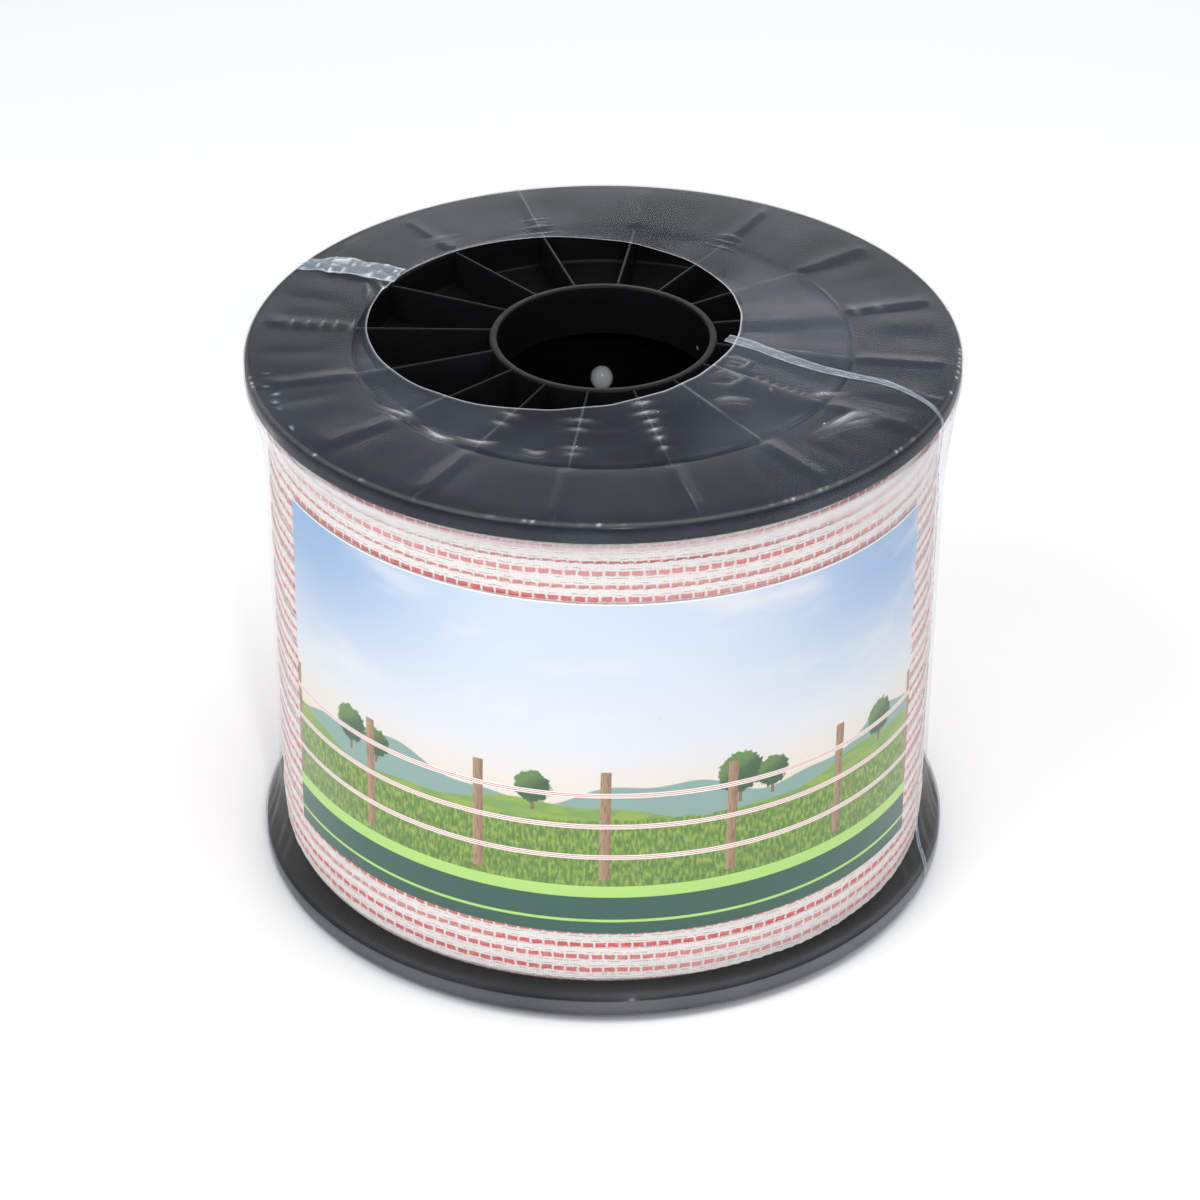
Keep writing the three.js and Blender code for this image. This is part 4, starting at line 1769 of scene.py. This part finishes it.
# Each point of a seam on the cap: x, y, width and crumple
LEFT_SEAM = (
    (-52.5, 35.2, 7.0, 1.0),
    (-56.5, 36.9, 7.5, 1.2),
    (-61.0, 38.4, 8.0, 1.1),
    (-68.5, 40.5, 9.0, 1.5),
    (-73.5, 41.5, 7.0, 0.7),
    (-77.6, 42.2, 6.0, 0.4),
    (-79.2, 42.6, 5.0, 0.2),
)
RIGHT_SEAM = (
    (31.1, -1.6, 3.8, 0.15),
    (36.0, -4.2, 3.6, 0.2),
    (42.9, -8.4, 3.4, 0.3),
    (51.9, -13.6, 3.3, 0.3),
    (61.1, -17.7, 3.0, 0.25),
    (69.1, -21.3, 2.6, 0.2),
    (74.0, -25.4, 2.0, 0.2),
    (79.0, -31.5, 1.5, 0.15),
    (81.2, -35.5, 1.3, 0.1),
)
# Each point of the right seam down the side: height, direction in degrees, width and crumple
SIDE_SEAM = (
    (143.8, -23.9, 1.4, 0.35),
    (139.0, -23.6, 1.4, 0.35),
    (131.0, -22.1, 1.4, 0.35),
    (116.0, -18.2, 1.9, 0.35),
    (96.5, -16.4, 1.9, 0.35),
    (78.0, -16.1, 1.9, 0.35),
    (62.0, -16.2, 1.9, 0.35),
    (42.0, -16.9, 1.9, 0.35),
    (26.0, -18.8, 1.9, 0.35),
    (14.0, -20.3, 1.9, 0.35),
    (7.0, -20.9, 1.9, 0.35),
    (3.2, -21.0, 1.9, 0.35),
)


def build_seams(film: FilmSheet, material: bpy.types.Material) -> None:
    """Makes the film's two welded seams.

    Args:
        film: the sheet that they lie on.
        material: the seam's finish.
    """
    up = (0.0, 0.0, 1.0)
    on_cap, on_side = 0.1, 0.05
    path = [(x, y, film.lid_height(x, y) + on_cap) for x, y, _, _ in LEFT_SEAM]
    widths, crumple = ([point[i] for point in LEFT_SEAM] for i in (2, 3))
    FilmSeam("film_seam_left", path, [up] * len(path), widths, crumple, 7, 0.6).build(material)

    path = [(x, y, film.lid_height(x, y) + on_cap) for x, y, _, _ in RIGHT_SEAM]
    normals = [up] * len(path)
    for height, azimuth, _, _ in SIDE_SEAM:
        turn = math.radians(azimuth)
        radius = film.side_radius(azimuth, height) + on_side
        path.append((radius * math.cos(turn), radius * math.sin(turn), height))
        normals.append((math.cos(turn), math.sin(turn), 0.0))
    widths, crumple = ([point[i] for point in (*RIGHT_SEAM, *SIDE_SEAM)] for i in (2, 3))
    FilmSeam("film_seam_right", path, normals, widths, crumple, 8).build(material)


@dataclass
class BoreHighlightBead:
    """A small pale glossy bead on the barrel's inner wall, seen through the hub's bore: a painted highlight
    where a lamp's reflection shows deep in the bore.
    """

    radius: float = 3.1
    azimuth: float = 90.4
    height: float = 101.5
    wall_radius: float = 63.0
    sunk_share: float = 0.45
    rings: int = 14
    sides: int = 24

    def build(self, material: bpy.types.Material) -> None:
        """Makes the bead.

        Args:
            material: its finish.
        """
        polar = np.linspace(0.02, math.pi - 0.02, self.rings)
        around = np.linspace(0.0, 2 * math.pi, self.sides, endpoint=False)
        sink = self.radius * self.sunk_share
        turn = math.radians(self.azimuth)
        centre = np.array([math.cos(turn), math.sin(turn), 0.0]) * (self.wall_radius - sink)
        centre[2] = self.height
        ball = [
            (math.sin(p) * math.cos(a), math.sin(p) * math.sin(a) * 0.92, math.cos(p) * 1.12)
            for p in polar
            for a in around
        ]
        points = centre + self.radius * np.array(ball)
        faces = grid_faces(self.rings, self.sides, True)[:, ::-1].tolist()
        faces.append(list(range(self.sides)))
        faces.append(list(range((self.rings - 1) * self.sides, self.rings * self.sides))[::-1])
        piece = make_piece("bore_highlight_bead", points, faces, material)
        hand_over(piece, Slot.SPOOL)


def main() -> None:
    """Builds the reel's pieces in order."""
    logging.basicConfig(level=logging.INFO, format="%(name)s: %(message)s")
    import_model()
    shared = SharedEffects()
    Studio().build()

    _, upper_high = box_mm("upper_spool_half")
    lower_low, _ = box_mm("lower_spool_half")
    winding_low, winding_high = box_mm("tape_winding")
    label_low, label_high = box_mm("label")
    flange_radius = upper_high[0]
    upper_plane = upper_high[2] - SpoolHalf.collar_proud
    lower_plane = lower_low[2] + SpoolHalf.collar_proud
    plastic = MouldedPlastic().material(shared)
    SpoolHalf(End.UPPER, upper_plane, flange_radius).build(plastic)
    SpoolHalf(End.LOWER, lower_plane, flange_radius).build(plastic)

    tape = WovenTape().material(shared)
    bore = SpoolHalf.barrel_radius + PIECE_GAP
    winding = TapeWinding(winding_high[0], winding_low[2], winding_high[2], bore)
    winding.build(tape)
    # Painted highlight: a near-white glossy bead stands in for a lamp's reflection in the bore.
    pale = MouldedPlastic("bore_highlight_plastic", (0.90, 0.93, 0.94), roughness=0.05, specular=0.5)
    BoreHighlightBead().build(pale.material(shared))

    middle = (label_low[2] + label_high[2]) / 2
    sheet = LabelSheet(winding.radius + PIECE_GAP, LABEL_THICKNESS, middle)
    sheet.build(PrintedLabel(sheet.width, sheet.height).material(shared))

    film = FilmSheet(upper_plane, lower_plane, flange_radius, FILM_RADIUS, folds=cap_folds())
    film.build(ClearFilm().material(shared))
    milky = (0.50, 0.58, 0.68)
    seam = ClearFilm(name="shrink_film_seam", clear_alpha=0.16, line_alpha=0.0, wall_colour=milky)
    build_seams(film, seam.material(shared))


if __name__ == "__main__":
    main()
